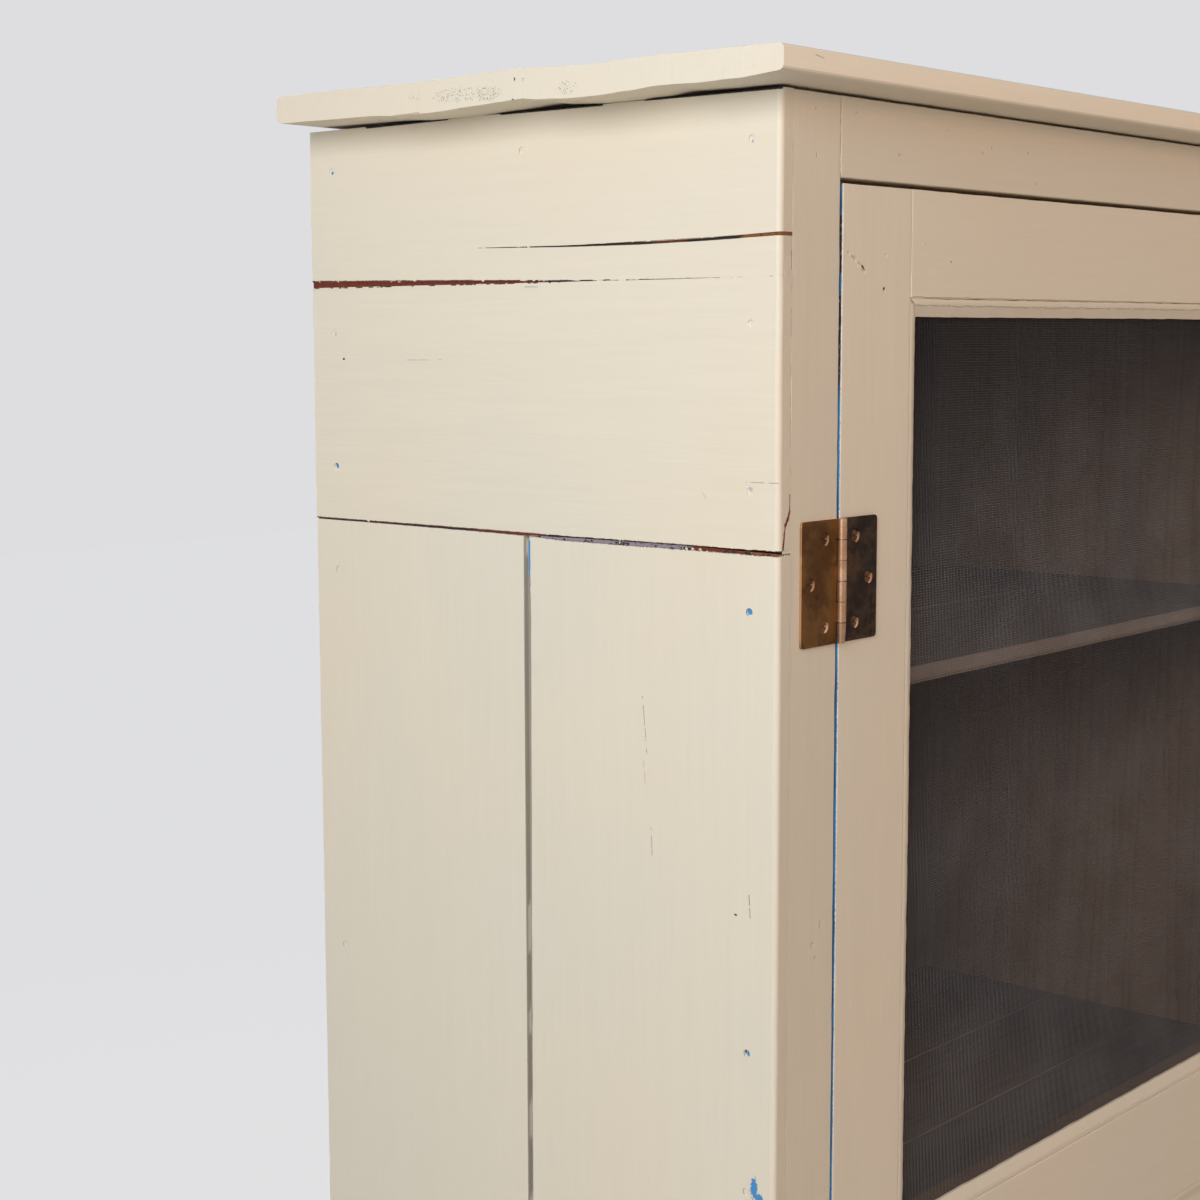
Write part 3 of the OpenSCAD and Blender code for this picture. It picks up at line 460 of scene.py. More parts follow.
def marks_mask(web, position, marks, soft=False):
    """One mask of all the chips and cracks of a list. Soft ones slope from their middle to their edge."""
    total = None
    for mark in marks:
        if "pitted" in mark:
            mask = web.use("end_pits", {
                "Position": position,
                "Centre": place(*mark["at"]),
                "Half size": tuple(FAR if half == 0 else half * MM for half in mark["half"]),
                "From": mark["pitted"],
            })["Mask"]
        elif "end" in mark:
            side = mark.get("flat", "X")
            mask = web.use("paint_crack", {
                "Position": position,
                "Start": place(*mark["at"]),
                "End": place(*mark["end"]),
                "Flat": tuple(0.0 if axis == side else 1.0 for axis in "XYZ"),
                "Start width": mark["wide"][0] * MM / 2,
                "End width": mark["wide"][1] * MM / 2,
                "Ragged": mark.get("ragged", 0.8),
                "Breaks": mark.get("breaks", 0.0),
                "Sway": mark.get("sway", 0.0) * MM,
            })["Mask"]
        else:
            mask = web.use("paint_chip", {
                "Position": position,
                "Centre": place(*mark["at"]),
                "Half size": tuple(FAR if half == 0 else half * MM for half in mark["half"]),
                "Ragged": mark.get("ragged", 0.9),
            })["Dip" if soft else "Mask"]
        if "share" in mark:
            mask = web.calc("MULTIPLY", mask, mark["share"])
        total = mask if total is None else web.calc("MAXIMUM", total, mask)
    return total


@made_once
def painted(name, grain, marks=None, shade=1.0, strokes=1.0, end_shade=1.0):
    """Cream paint on a board whose grain runs along one axis, with its own chips and cracks by colour.

    The shade scales the whole paint for the light that falls on the piece: below 1 it is painted shade, above 1 a
    painted highlight. The end shade is painted shade on the board's narrow front end, beside the post.
    """
    hues = colour_settings()
    wear = wear_settings()
    material, web, shader, position = start_material(name)
    colour = web.use("paint_tone", {
        "Position": position,
        "Paint": solid(hues.paint),
        "Warm patch": solid(hues.warm_patch),
        "Cool patch": solid(hues.cool_patch),
    })["Colour"]
    streak = web.use("brush_marks", {
        "Position": position, "Lie": lie_of(grain, STROKE_ALONG, STROKE_ACROSS),
    })["Streak"]
    # Brush streaks vary the paint's tone; the shade on top of them is painted shade or painted highlight
    light = web.scale(streak, shade * (1 - 0.05 * strokes), shade * (1 + 0.05 * strokes))
    # Painted shade on the narrow front end of a side board, which faces away from the window light
    if end_shade != 1.0:
        spot = web.put("SeparateXYZ", {"Vector": position}).outputs
        end_shade_mask = web.calc("MULTIPLY", web.ease(spot["X"], CORNER.x + 0.6 * MM, CORNER.x + 3.2 * MM),
                          web.ease(spot["Y"], CORNER.y + 3.2 * MM, CORNER.y + 0.6 * MM))
        light = web.calc("MULTIPLY", light, web.scale(end_shade_mask, 1.0, end_shade))
    colour = web.put("Mix", {0: 1.0, 6: colour, 7: light}, data_type="RGBA", blend_type="MULTIPLY").outputs[2]
    peel = web.speckle(position, 260.0, 2, 0.5)
    height = web.calc("ADD", web.calc("MULTIPLY", streak, wear.stroke_height * 2 * strokes),
                      web.calc("MULTIPLY", peel, 0.03))
    rough = web.scale(streak, 0.40, 0.58)
    # Some pale and dark marks are painted highlights and painted shade, of dents, ridges and gaps; the rest are marks
    # in the paint
    tones = {
        "blue": hues.old_blue,
        "bare": hues.orange_wood,
        "red": hues.red_wood,
        "dark": hues.shadow,
        "pale": tint(244, 238, 224),
        "lilac": hues.lilac,
        "grey": tint(170, 182, 190),
        "dent": hues.paint,
        "black": tint(12, 10, 9),
    }
    depths = {"pale": 0.12, "dent": -0.6, "dark": -0.3, "blue": -0.12, "bare": -0.12, "red": -0.2, "grey": -0.1,
              "lilac": -0.15, "black": -0.3}
    for tone, listed in (marks or {}).items():
        mask = marks_mask(web, position, listed, tone == "dent")
        if tone != "dent":
            colour = web.mix(mask, colour, solid(tones[tone]))
        height = web.calc("MULTIPLY_ADD", mask, depths[tone], height)
    web.feed(shader.inputs["Base Color"], colour)
    web.feed(shader.inputs["Roughness"], rough)
    shader.inputs["Specular IOR Level"].default_value = 0.4
    add_bump(web, shader, height)
    return material


@made_once
def bare_wood(name, grain, pale=None, dark=None, rings=110.0, board=0):
    """Unpainted timber with its rings and stains. Each board number has its own pattern."""
    hues = colour_settings()
    material, web, shader, position = start_material(name)
    position = web.vector("ADD", position, (board * 1.37, board * 0.83, board * 2.11))
    wood = web.use("timber", {
        "Position": position,
        "Lie": lie_of(grain, rings * 0.035, rings),
        "Pale": solid(pale or hues.pale_pine),
        "Dark": solid(dark or hues.dark_pine),
        "Stain": solid(hues.stain),
    })
    web.feed(shader.inputs["Base Color"], wood["Colour"])
    web.feed(shader.inputs["Roughness"], web.scale(wood["Height"], 0.62, 0.85))
    add_bump(web, shader, wood["Height"], 0.25)
    return material


@made_once
def aged_brass(name, bright=None, brown=None, black_from=0.56, dull=0.5, metal=0.85):
    """Brass with brown and black patina."""
    hues = colour_settings()
    material, web, shader, position = start_material(name)
    arris = web.put("Attribute", {}, attribute_name="arris").outputs["Fac"]
    skin = web.use("old_metal", {
        "Position": position,
        "Bright": solid(bright or hues.brass),
        "Brown": solid(brown or hues.patina),
        "Black": solid(hues.black_patina),
        "Black from": black_from,
        "Arris": arris,
    })
    web.feed(shader.inputs["Base Color"], skin["Colour"])
    web.feed(shader.inputs["Roughness"], web.scale(skin["Dull"], dull - 0.12, dull + 0.15))
    shader.inputs["Metallic"].default_value = metal
    add_bump(web, shader, skin["Height"], 0.12)
    return material


# ---- Shapes ----


def cad_copy(node):
    """The node's mesh, merged into whole faces."""
    shape = bmesh.new()
    shape.from_mesh(frame["nodes"][node].data)
    bmesh.ops.remove_doubles(shape, verts=shape.verts, dist=WELD)
    bmesh.ops.dissolve_limit(
        shape, angle_limit=FLAT_ANGLE, use_dissolve_boundaries=False, verts=shape.verts, edges=shape.edges
    )
    return shape


def outer_arrises(shape, least, test=None):
    """The sharp outward edges that are longer than least."""
    return [
        edge
        for edge in shape.edges
        if edge.is_manifold
        and edge.is_convex
        and edge.calc_face_angle(0) > SHARP_ANGLE
        and edge.calc_length() > least
        and (test is None or test(edge))
    ]


def round_off(shape, edges, radius, segments=3):
    """Rounds edges and marks the new faces' corners, so that the finish can wear there."""
    if not edges or radius <= 0:
        return
    layer = shape.verts.layers.float.get("arris") or shape.verts.layers.float.new("arris")
    made = bmesh.ops.bevel(
        shape,
        geom=edges,
        offset=radius,
        offset_type="OFFSET",
        segments=segments,
        profile=0.5,
        affect="EDGES",
        clamp_overlap=True,
        material=-1,
    )
    for vert in made["verts"]:
        vert[layer] = 1.0


def cut_at(shape, axis, place_on_axis):
    """Cuts the faces along one plane across an axis."""
    at = Vector((0, 0, 0))
    at["XYZ".index(axis)] = place_on_axis
    bmesh.ops.bisect_plane(
        shape,
        geom=shape.verts[:] + shape.edges[:] + shape.faces[:],
        dist=CUT_SLACK,
        plane_co=at,
        plane_no=ALONG[axis],
    )


def round_corner(shape, radius):
    """Rounds the case's front left corner: cuts the faces beside it and moves them onto the round."""
    layer = shape.verts.layers.float.get("arris") or shape.verts.layers.float.new("arris")
    middle = CORNER + Vector((radius, radius, 0))
    for turn in CORNER_TURNS:
        reach = radius * (1 - math.tan(math.radians(turn)))
        cut_at(shape, "X", CORNER.x + reach)
        cut_at(shape, "Y", CORNER.y + reach)
    for vert in shape.verts:
        a, b = middle.x - vert.co.x, middle.y - vert.co.y
        if a > 0 and b > 0:
            outside = max(a, b) > radius - CAD_ROUND
            inward = (radius if outside else max(a, b)) / math.hypot(a, b)
            vert.co.x, vert.co.y = middle.x - a * inward, middle.y - b * inward
            if outside:
                vert[layer] = 1.0
    bmesh.ops.remove_doubles(shape, verts=shape.verts, dist=WELD)


def slice_up(shape, axis, step):
    """Cuts the faces across an axis at even steps, so that they can bend."""
    which = "XYZ".index(axis)
    heights = [vert.co[which] for vert in shape.verts]
    low, high = min(heights), max(heights)
    count = max(1, round((high - low) / step))
    for n in range(1, count):
        cut_at(shape, axis, low + (high - low) * n / count)


NOISE_SEED = 5
# Long waves to the metre, along and across the grain, and the nibbles at the arrises, coarse and fine
WAVES_ALONG = 4.0
WAVES_ACROSS = 12.0
NIBBLES = 70
FINE_NIBBLES = 210
FINE_SHARE = 0.6
# The broken paint along a joint, coarse and fine, and how far it reaches in from the side's face
TEARS = 420
FINE_TEARS = 900
FINE_TEAR_SHARE = 0.8
TEARS_TO = 3 * MM


def make_uneven(shape, grain, amount, arris_amount, seed):
    """Bends the piece a little in long waves along the grain, and nibbles at its arrises."""
    # Without a seed, noise_vector differs each time Blender starts
    noise.seed_set(NOISE_SEED)
    shape.normal_update()
    layer = shape.verts.layers.float.get("arris")
    lie = Vector(lie_of(grain, WAVES_ALONG, WAVES_ACROSS))
    shift = Vector((seed * 1.7, seed * 0.9, seed * 2.3))
    for vert in shape.verts:
        point = vert.co.copy()
        vert.co += amount * noise.noise_vector(point * lie + shift)
        if layer and vert[layer] > 0:
            bite = noise.noise(point * NIBBLES + shift) + FINE_SHARE * noise.noise(point * FINE_NIBBLES)
            vert.co += vert.normal * (arris_amount * vert[layer] * bite)


def fray(shape, z_low, z_high, amount):
    """Makes the arrises between two heights ragged, as old paint breaks off along an open joint."""
    layer = shape.verts.layers.float.get("arris")
    for vert in shape.verts:
        if vert[layer] > 0 and z_low < vert.co.z < z_high and vert.co.x < CORNER.x + TEARS_TO:
            tear = noise.noise(vert.co * TEARS) + FINE_TEAR_SHARE * noise.noise(vert.co * FINE_TEARS)
            vert.co.z += amount * tear


def finish_piece(shape, name, body, finishes, choose=None, nodes=(), shade=SHADE_ANGLE, even=True):
    """Makes the object, gives its faces their finishes and lets it ride on its body."""
    mesh = bpy.data.meshes.new(name)
    if choose:
        shape.normal_update()
        for face in shape.faces:
            face.material_index = choose(face.normal, face.calc_center_median())
    else:
        for face in shape.faces:
            face.material_index = 0
    shape.to_mesh(mesh)
    shape.free()
    for finish in finishes:
        mesh.materials.append(finish)
    mesh.polygons.foreach_set("use_smooth", [True] * len(mesh.polygons))
    mesh.set_sharp_from_angle(angle=shade)
    piece = bpy.data.objects.new(name, mesh)
    bpy.context.scene.collection.objects.link(piece)
    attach(piece, body)
    if nodes:
        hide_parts(*nodes)
    if even:
        smoother = piece.modifiers.new("flat_faces_stay_flat", "WEIGHTED_NORMAL")
        smoother.mode = "FACE_AREA"
        smoother.keep_sharp = True
    return piece


def worn_copy(node, grain, slot, finishes, choose=None, radius=None, step=8, least=6, across=0, wobble=1.0,
              corner_radius=0.0, joints=None, frayed=None, seed=None, kept=None, settle=None):
    """A rounded, slightly uneven piece that stands for one CAD node."""
    wear = wear_settings()
    shape = cad_copy(node)
    if joints:
        slice_up(shape, "Y", 6 * MM)
        bend_to_section(shape, joints)
        ends = [max(v.co.y for v in shape.verts) - WELD if joints[1] else FAR,
                min(v.co.y for v in shape.verts) + WELD if joints[0] else -FAR]

        def kept(edge):
            """True for an edge that isn't in a shut joint."""
            return not all(v.co.y > ends[0] or v.co.y < ends[1] for v in edge.verts)
    radius = wear.arris_round if radius is None else radius
    round_off(shape, outer_arrises(shape, least * MM, kept), radius)
    if corner_radius:
        round_corner(shape, corner_radius)
    if step:
        slice_up(shape, grain, step * MM)
    if across:
        for axis in "XYZ":
            if axis != grain:
                slice_up(shape, axis, across * MM)
    if settle:
        settle(shape)
    seed = sum(ord(letter) for letter in node) % 97 if seed is None else seed
    make_uneven(shape, grain, wear.wobble * wobble, wear.arris_wobble * wobble, seed)
    if frayed:
        fray(shape, *frayed)
    body = frame["nodes"][node]["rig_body"]
    return finish_piece(shape, "worn_" + node, body, finishes, choose, (node,))


def bare_copy(node, grain, finishes, step, choose=None):
    """A worn piece of bare wood."""
    worn_copy(node, grain, "inside_wood", finishes, choose, radius=wear_settings().inner_round, step=step)


def dress_node(node, finishes, radius=0.0, least=2, choose=None, segments=2):
    """A merged copy of a small CAD node with its edges broken."""
    shape = cad_copy(node)
    round_off(shape, outer_arrises(shape, least * MM), radius, segments)
    body = frame["nodes"][node]["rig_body"]
    return finish_piece(shape, "worn_" + node, body, finishes, choose, (node,))


# ---- Marks in the paint, in millimetres from the case's corner ----


def side_crack(y, drop, end_y, end_drop, wide, end_wide, **more):
    """A crack in the left side's face, from one place to another, with its width at both."""
    return {"at": (0, y, drop), "end": (0, end_y, end_drop), "wide": (wide, end_wide), **more}


def front_crack(x, drop, end_x, end_drop, wide, end_wide, **more):
    """The same in the front's face."""
    return {"at": (x, 0, drop), "end": (end_x, 0, end_drop), "wide": (wide, end_wide), "flat": "Y", **more}


def side_chip(y, drop, wide, high, **more):
    """A chip, dent or spot in the left side's face, with half its width and height."""
    return {"at": (0, y, drop), "half": (0, wide, high), **more}


def front_chip(x, drop, wide, high, **more):
    """The same in the front's face."""
    return {"at": (x, 0, drop), "half": (wide, 0, high), **more}


# Painted shade of the side boards' narrow front ends, to match the shaded front of the case
END_SHADE = 0.87
SIDE_MARKS_UPPER = {
    "dark": [
        side_crack(196, 84.6, 243, 83.9, 0.9, 0.35, ragged=1.2, breaks=0.45),
        side_crack(160, 85.1, 196, 84.6, 1.2, 0.9, ragged=0.6),
        side_crack(106, 85.2, 160, 85.1, 1.8, 1.2, ragged=0.5),
        side_crack(59, 84.4, 106, 85.2, 2.0, 1.8, ragged=0.4),
        side_crack(30, 83.8, 59, 84.4, 2.0, 2.0, ragged=0.4),
        side_crack(406, 102.2, 262, 104.3, 1.0, 0.8, ragged=2.2, breaks=0.5),
        side_crack(250, 105.4, 165, 106.6, 1.4, 1.6, ragged=2.2, breaks=0.42),
        side_crack(171, 106.8, 98, 106.8, 1.8, 0.6, ragged=2.4, breaks=0.46),
        side_crack(110, 106.9, 44, 106.9, 0.5, 0.25, ragged=0.8, breaks=0.36),
    ],
    "grey": [
        side_crack(404, 102.6, 240, 104.6, 1.3, 0.9, ragged=1.6, breaks=0.5),
    ],
    # Painted shadow in the gap under the top, where its cupped underside stands off the board's upper edge
    "black": [
        side_crack(348, 0.4, 270, 0.3, 1.6, 0.8, ragged=0.8),
        side_crack(222, 0.3, 136, 0.4, 0.9, 1.7, ragged=0.8),
        side_crack(102, 0.3, 1, 0.45, 0.8, 1.9, ragged=0.8),
    ],
    "red": [
        side_crack(406, 102.9, 250, 105.1, 2.2, 1.9, ragged=2.0, breaks=0.34),
        side_crack(260, 105.0, 190, 106.0, 2.0, 1.4, ragged=2.0, breaks=0.4),
        front_crack(11.4, 30, 11.4, 84, 0.3, 0.3, breaks=0.5, share=0.4),
        front_crack(11.2, 92, 11.0, 107, 0.6, 0.5, breaks=0.46, ragged=1.6, share=0.8),
    ],
    "bare": [
        side_crack(59, 83.4, 150, 84.5, 0.55, 0.4, ragged=0.8, breaks=0.4, share=0.9),
        side_crack(26, 82.6, 59, 83.4, 0.4, 0.5, ragged=0.8, breaks=0.42, share=0.8),
    ],
}
SIDE_MARKS_MIDDLE = {
    "grey": [
        side_crack(202, 109.6, 191, 109.8, 0.9, 0.5, ragged=0.8),
    ],
    "dark": [
        side_crack(60, 230.4, 54, 238, 0.3, 0.3, breaks=0.5, share=0.5),
        side_crack(24, 227, -1, 226.6, 0.35, 0.35, breaks=0.42, share=0.7),
        side_chip(375, 156, 0.9, 0.8),
        side_crack(313, 156.5, 268, 156, 0.4, 0.3, breaks=0.5, share=0.45),
        side_crack(406, 107.3, 172, 107.3, 0.9, 0.6, ragged=2.2, breaks=0.48),
        front_crack(11.2, 108, 11.2, 230, 0.35, 0.35, breaks=0.5, share=0.5),
    ],
    "red": [
        {"at": start, "end": end, "wide": (wide, wide), "flat": "Y", "ragged": 1.8, "sway": 1.0}
        for start, end, wide in (
            ((4.2, 0, 268.4), (5.9, 0, 257.0), 2.0), ((5.9, 0, 257.0), (7.2, 0, 250.6), 1.7),
            ((7.0, 0, 251.8), (9.6, 0, 247.6), 2.8), ((9.6, 0, 247.6), (10.8, 0, 243.5), 2.2),
            ((10.8, 0, 243.5), (11.0, 0, 234.0), 1.0),
        )
    ],
}
SIDE_MARKS_FRONT_PLANK = {
    "blue": [
        side_chip(15, 659, 2.6, 6.5, ragged=2.2),
        side_chip(11, 665, 3.0, 3.2, ragged=1.8),
    ],
    "dark": [
        side_crack(104, 363, 100, 404, 0.4, 0.45, breaks=0.46, share=0.75),
        side_crack(97, 446, 96, 466, 0.35, 0.4, breaks=0.46, share=0.7),
        side_crack(20, 476, 19, 490, 0.5, 0.4, breaks=0.44),
        side_chip(30, 490, 1.3, 0.5),
        side_crack(103, 404, 101, 430, 0.3, 0.3, breaks=0.52, share=0.5),
    ],
}
GROOVE_MARKS = {
    "pale": [
        {"at": (4, 202.7, 267), "end": (4, 202.4, 312), "wide": (1.9, 1.3), "ragged": 1.2, "breaks": 0.38},
    ],
    "blue": [
        {"at": (4, 203.5, 273), "end": (4, 203.4, 291), "wide": (2.4, 1.7), "ragged": 1.2, "breaks": 0.36},
        {"at": (4, 203.4, 291), "end": (4, 203.2, 308), "wide": (1.3, 0.7), "ragged": 1.4, "breaks": 0.44},
    ],
}
# The joint over the upright planks, where its edges are broken: y, drop and width of its middle line
LOWER_JOINT_RUN = (
    (406, 267.7, 1.5), (320, 267.7, 1.9), (230, 267.9, 2.5), (201, 268.1, 2.9), (172, 268.9, 3.6),
    (115, 268.6, 4.2), (66, 268.3, 4.0), (24, 268.6, 3.6), (1, 268.7, 3.2),
)


def joint_run(low, high, share, breaks):
    """Marks along the joint over the upright planks, between two distances behind the face."""
    return [
        side_crack(y0, drop0, y1, drop1, wide0 * share, wide1 * share, ragged=1.5, breaks=breaks)
        for (y0, drop0, wide0), (y1, drop1, wide1) in zip(LOWER_JOINT_RUN, LOWER_JOINT_RUN[1:])
        if y1 >= low and y0 <= high
    ]


LOWER_JOINT_MARKS = {
    "dark": joint_run(0, 406, 1.0, 0.3),
    "red": joint_run(190, 406, 0.75, 0.42) + joint_run(0, 67, 0.7, 0.4),
    "lilac": joint_run(66, 202, 0.72, 0.4),
    "bare": joint_run(0, 25, 0.6, 0.44),
}
FRONT_MARKS_POST = {
    "dent": [
        front_chip(33.7, 9.5, 1.0, 1.0), front_chip(35.2, 36.3, 1.0, 1.6),
        front_chip(45.7, 500.6, 1.2, 3.0, ragged=1.6),
        front_chip(37.5, 511.4, 2.2, 2.0, ragged=1.8),
        front_chip(40.8, 520.3, 1.2, 1.4, ragged=1.6),
    ],
}

FRONT_MARKS_RAIL = {
    "dent": [
        front_chip(x, drop, wide, high, ragged=1.7)
        for x, drop, wide, high in (
            (219, 23.9, 1.6, 1.3), (230, 20.2, 1.0, 1.4), (276, 20.4, 1.4, 1.2), (287, 40.0, 1.2, 1.0),
            (75, 9.0, 1.0, 0.8), (122, 31.0, 1.2, 0.9), (176, 12.0, 0.9, 0.8),
        )
    ],
    # Painted highlight along the paint ridge at the joint with the post
    "pale": [front_crack(60.5, 3, 60.2, 48, 0.5, 0.45, breaks=0.42)],
    "red": [front_crack(59.8, 2, 59.8, 48, 0.3, 0.3, breaks=0.46, share=0.4)],
}


def with_joint(marks):
    """A board's marks together with those of the joint over the upright planks."""
    return {tone: marks.get(tone, []) + LOWER_JOINT_MARKS.get(tone, []) for tone in {**marks, **LOWER_JOINT_MARKS}}


# How far the paint reaches into a joint from the side's face, and in from the front
PAINT_INTO_JOINT = 1.1 * MM
PAINT_FROM_FRONT = 6 * MM
# Between these drops, in millimetres, lie the upper board's split, its joint and the groove over the joint
SPLIT_DROPS = (78, 90)
JOINT_DROPS = (104, 110)
GROOVE_DROPS = (95, 101)
# The paint bridges that joint up to here, in millimetres behind the face
BRIDGED_TO = 110


def build_left_side():
    """The left side: two level boards over two upright planks."""
    wear = wear_settings()
    wood = bare_wood("inside_level_boards", "Y")
    upright = bare_wood("inside_upright_boards", "Z")
    # Painted light: the joint faces are a brighter red-brown than the wood, so that they still read red in the
    # joint's shade
    raw = bare_wood("raw_joint_faces", "Y", tint(142, 56, 18), tint(80, 32, 12))
    # Painted shade: the paint in the groove and on the tongue is darkened for the shade inside the open joint
    groove_wall_painted_shade = painted("paint_in_groove", "Z", shade=0.6)
    tongue_painted_shade = painted("paint_on_tongue", "Z", GROOVE_MARKS, shade=0.44)
    painted_to = CORNER.x + PAINT_INTO_JOINT
    joints_from = CORNER.y + PAINT_FROM_FRONT
    inside_from = CORNER.x + 4 * MM

    def level_faces(normal, centre):
        if normal.x > 0.4 and centre.x > inside_from:
            return 1
        if centre.x > painted_to and (abs(normal.z) > 0.6 or normal.x < -0.4 and centre.y > joints_from):
            return 2
        return 0

    def plank_faces(normal, centre):
        if normal.x > 0.4:
            return 1
        if abs(normal.z) > 0.75 and centre.x > painted_to:
            return 2
        if centre.y > joints_from and (abs(normal.y) > 0.5 or centre.x > painted_to):
            return 4 if normal.x < -0.5 else 3
        return 0

    def worn_arris(edge):
        """True for an arris that isn't in the split, in a painted joint or against the post."""
        mid = (edge.verts[0].co + edge.verts[1].co) / 2
        drop = (CORNER.z - mid.z) / MM
        behind = (mid.y - CORNER.y) / MM
        if behind < 1 and (mid.x > CORNER.x + 11 * MM or mid.x < CORNER.x + MM):
            return False
        split, joint, groove = (low < drop < high for low, high in (SPLIT_DROPS, JOINT_DROPS, GROOVE_DROPS))
        return not (split or groove or (joint and behind < BRIDGED_TO))

    def shut_groove(shape):
        """Closes the end of the groove over the tongue, at the front."""
        for vert in shape.verts:
            spot = (vert.co - CORNER) / MM
            if spot.y < 0.6 and 3 < spot.x < 9 and 96 < -spot.z < 98.5:
                vert.co.z = place(0, 0, 100.2).z

    level = {"choose": level_faces, "radius": 0.5 * MM, "step": 2, "across": 12, "kept": worn_arris}
    planks = {"choose": plank_faces, "radius": 0.7 * MM, "step": 8, "across": 20}
    cream = painted("cream_left_upper_board", "Y", SIDE_MARKS_UPPER, end_shade=END_SHADE)
    worn_copy("left_upper_board", "Y", "cream_paint", [cream, wood, raw], corner_radius=wear.corner_round,
              frayed=(place(0, 0, 108.5).z, place(0, 0, 101).z, 0.5 * MM), settle=shut_groove, **level)
    cream = painted("cream_left_middle_board", "Y", with_joint(SIDE_MARKS_MIDDLE), strokes=1.3, end_shade=END_SHADE)
    worn_copy("left_middle_board", "Y", "cream_paint", [cream, wood, raw], corner_radius=wear.corner_round,
              frayed=(place(0, 0, 270).z, place(0, 0, 262).z, 0.45 * MM), **level)
    cream = painted("cream_left_front_plank", "Z", with_joint(SIDE_MARKS_FRONT_PLANK), end_shade=END_SHADE)
    worn_copy("left_front_plank", "Z", "cream_paint", [cream, upright, raw, groove_wall_painted_shade, tongue_painted_shade],
              corner_radius=wear.corner_round, kept=worn_arris, **planks)
    cream = painted("cream_left_rear_plank", "Z", LOWER_JOINT_MARKS)
    worn_copy("left_rear_plank", "Z", "cream_paint", [cream, upright, raw, groove_wall_painted_shade, tongue_painted_shade], **planks)


def build_nails():
    """The punched nails of both sides, painted over, some with blue paint showing."""
    blue_ones = {
        "blue": [
            side_chip(21, 303.5, 2.0, 2.2, ragged=0.8),
            side_chip(384, 29, 1.2, 1.3, ragged=1.0),
            side_chip(384, 230, 1.5, 2.2, ragged=1.6),
            side_chip(20, 575, 1.6, 2.2, ragged=1.4),
            side_chip(21, 30, 0.9, 1.4, ragged=1.4, share=0.6),
            side_chip(384, 139, 1.0, 1.4, ragged=1.4, share=0.4),
            side_chip(21, 231, 1.4, 1.2, ragged=1.4, share=0.4),
        ],
        # The two thin dark crescents are painted shadow at the rims of nail dents; the round dark spot is a dark mark
        # in the paint
        "dark": [
            side_chip(384, 228.6, 1.3, 1.0, ragged=1.4),
            side_chip(22.3, 574, 0.5, 1.7, ragged=0.8),
            side_chip(206.2, 23, 0.35, 1.6, ragged=0.8, share=0.5),
        ],
    }
    # The shade of 0.99 is a faint painted shade
    finish = painted("cream_over_nails", "Z", blue_ones, shade=0.99)
    rng = random.Random(3)
    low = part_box("side_nails")[0].x
    shape = bmesh.new()
    for spot in solid_middles("side_nails"):
        side = 1 if spot.x < 0 else -1
        dip = rng.uniform(0.25, 0.7)
        profile = [
            (radius * MM, depth * MM)
            for radius, depth in (
                (0, 0.45 * dip), (0.9, 0.5 * dip), (1.5, 0.4 * dip), (2.0, 0.14 * dip), (2.5, 0.0), (2.5, 1.6),
                (1.1, 1.6), (1.1, 24.0), (0, 24.0),
            )
        ]
        chain = [
            shape.verts.new((side * (low + depth), spot.y + radius, spot.z)) for radius, depth in profile
        ]
        edges = [shape.edges.new(pair) for pair in zip(chain, chain[1:])]
        bmesh.ops.spin(shape, geom=chain + edges, cent=(0, spot.y, spot.z), axis=(1, 0, 0), dvec=(0, 0, 0),
                       angle=WHOLE_TURN, steps=18, use_merge=True)
    bmesh.ops.remove_doubles(shape, verts=shape.verts, dist=WELD)
    bmesh.ops.recalc_face_normals(shape, faces=shape.faces)
    finish_piece(shape, "worn_side_nails", "case", [finish], None, ("side_nails",), SHADE_ANGLE * 2)


def solid_middles(node):
    """The middle of each separate solid of a node, always in the same order."""
    shape = cad_copy(node)
    left = set(shape.verts)
    middles = []
    for start in shape.verts:
        if start not in left:
            continue
        left.remove(start)
        front = [start]
        island = [start]
        while front:
            vert = front.pop()
            for edge in vert.link_edges:
                other = edge.other_vert(vert)
                if other in left:
                    left.remove(other)
                    front.append(other)
                    island.append(other)
        spans = [[vert.co[n] for vert in island] for n in range(3)]
        middles.append(Vector([(min(span) + max(span)) / 2 for span in spans]))
    shape.free()
    return sorted(middles, key=lambda middle: tuple(round(value * 1000) for value in middle.yzx))


def build_case_frame():
    """Posts and rails of the case: painted in front, bare inside."""
    front_wood = bare_wood("inside_front_frame", "Z")

    def painted_front(normal, centre):
        in_front = centre.y < CORNER.y + 24 * MM
        return 0 if in_front and normal.y < 0.4 else 1

    def beside_board(edge):
        """True for a post's edge that is painted together with the side board."""
        mid = (edge.verts[0].co + edge.verts[1].co) / 2
        return mid.y < CORNER.y + MM and not CORNER.x + 13 * MM < mid.x < -CORNER.x - 13 * MM

    # Painted shade: the posts' paint is darkened to 0.9 for the shaded front of the case
    for node, marks in (("front_post_left", FRONT_MARKS_POST), ("front_post_right", None)):
        worn_copy(node, "Z", "cream_paint", [painted("cream_" + node, "Z", marks, 0.9, 1.4), front_wood],
                  painted_front, step=8, across=16, kept=lambda edge: not beside_board(edge))
    # The same painted shade on the front rails
    for node, marks in (("front_top_rail", FRONT_MARKS_RAIL), ("front_bottom_rail", None)):
        cream = painted("cream_" + node, "X", marks, 0.9, 1.3)
        worn_copy(node, "X", "cream_paint", [cream, bare_wood("inside_rails", "X")], painted_front, step=8, across=16)
    for node in ("rear_post_left", "rear_post_right"):
        bare_copy(node, "Z", [bare_wood("inside_posts", "Z")], 20)
    for node in ("rear_top_rail", "rear_bottom_rail"):
        bare_copy(node, "X", [bare_wood("inside_rails", "X")], 20)


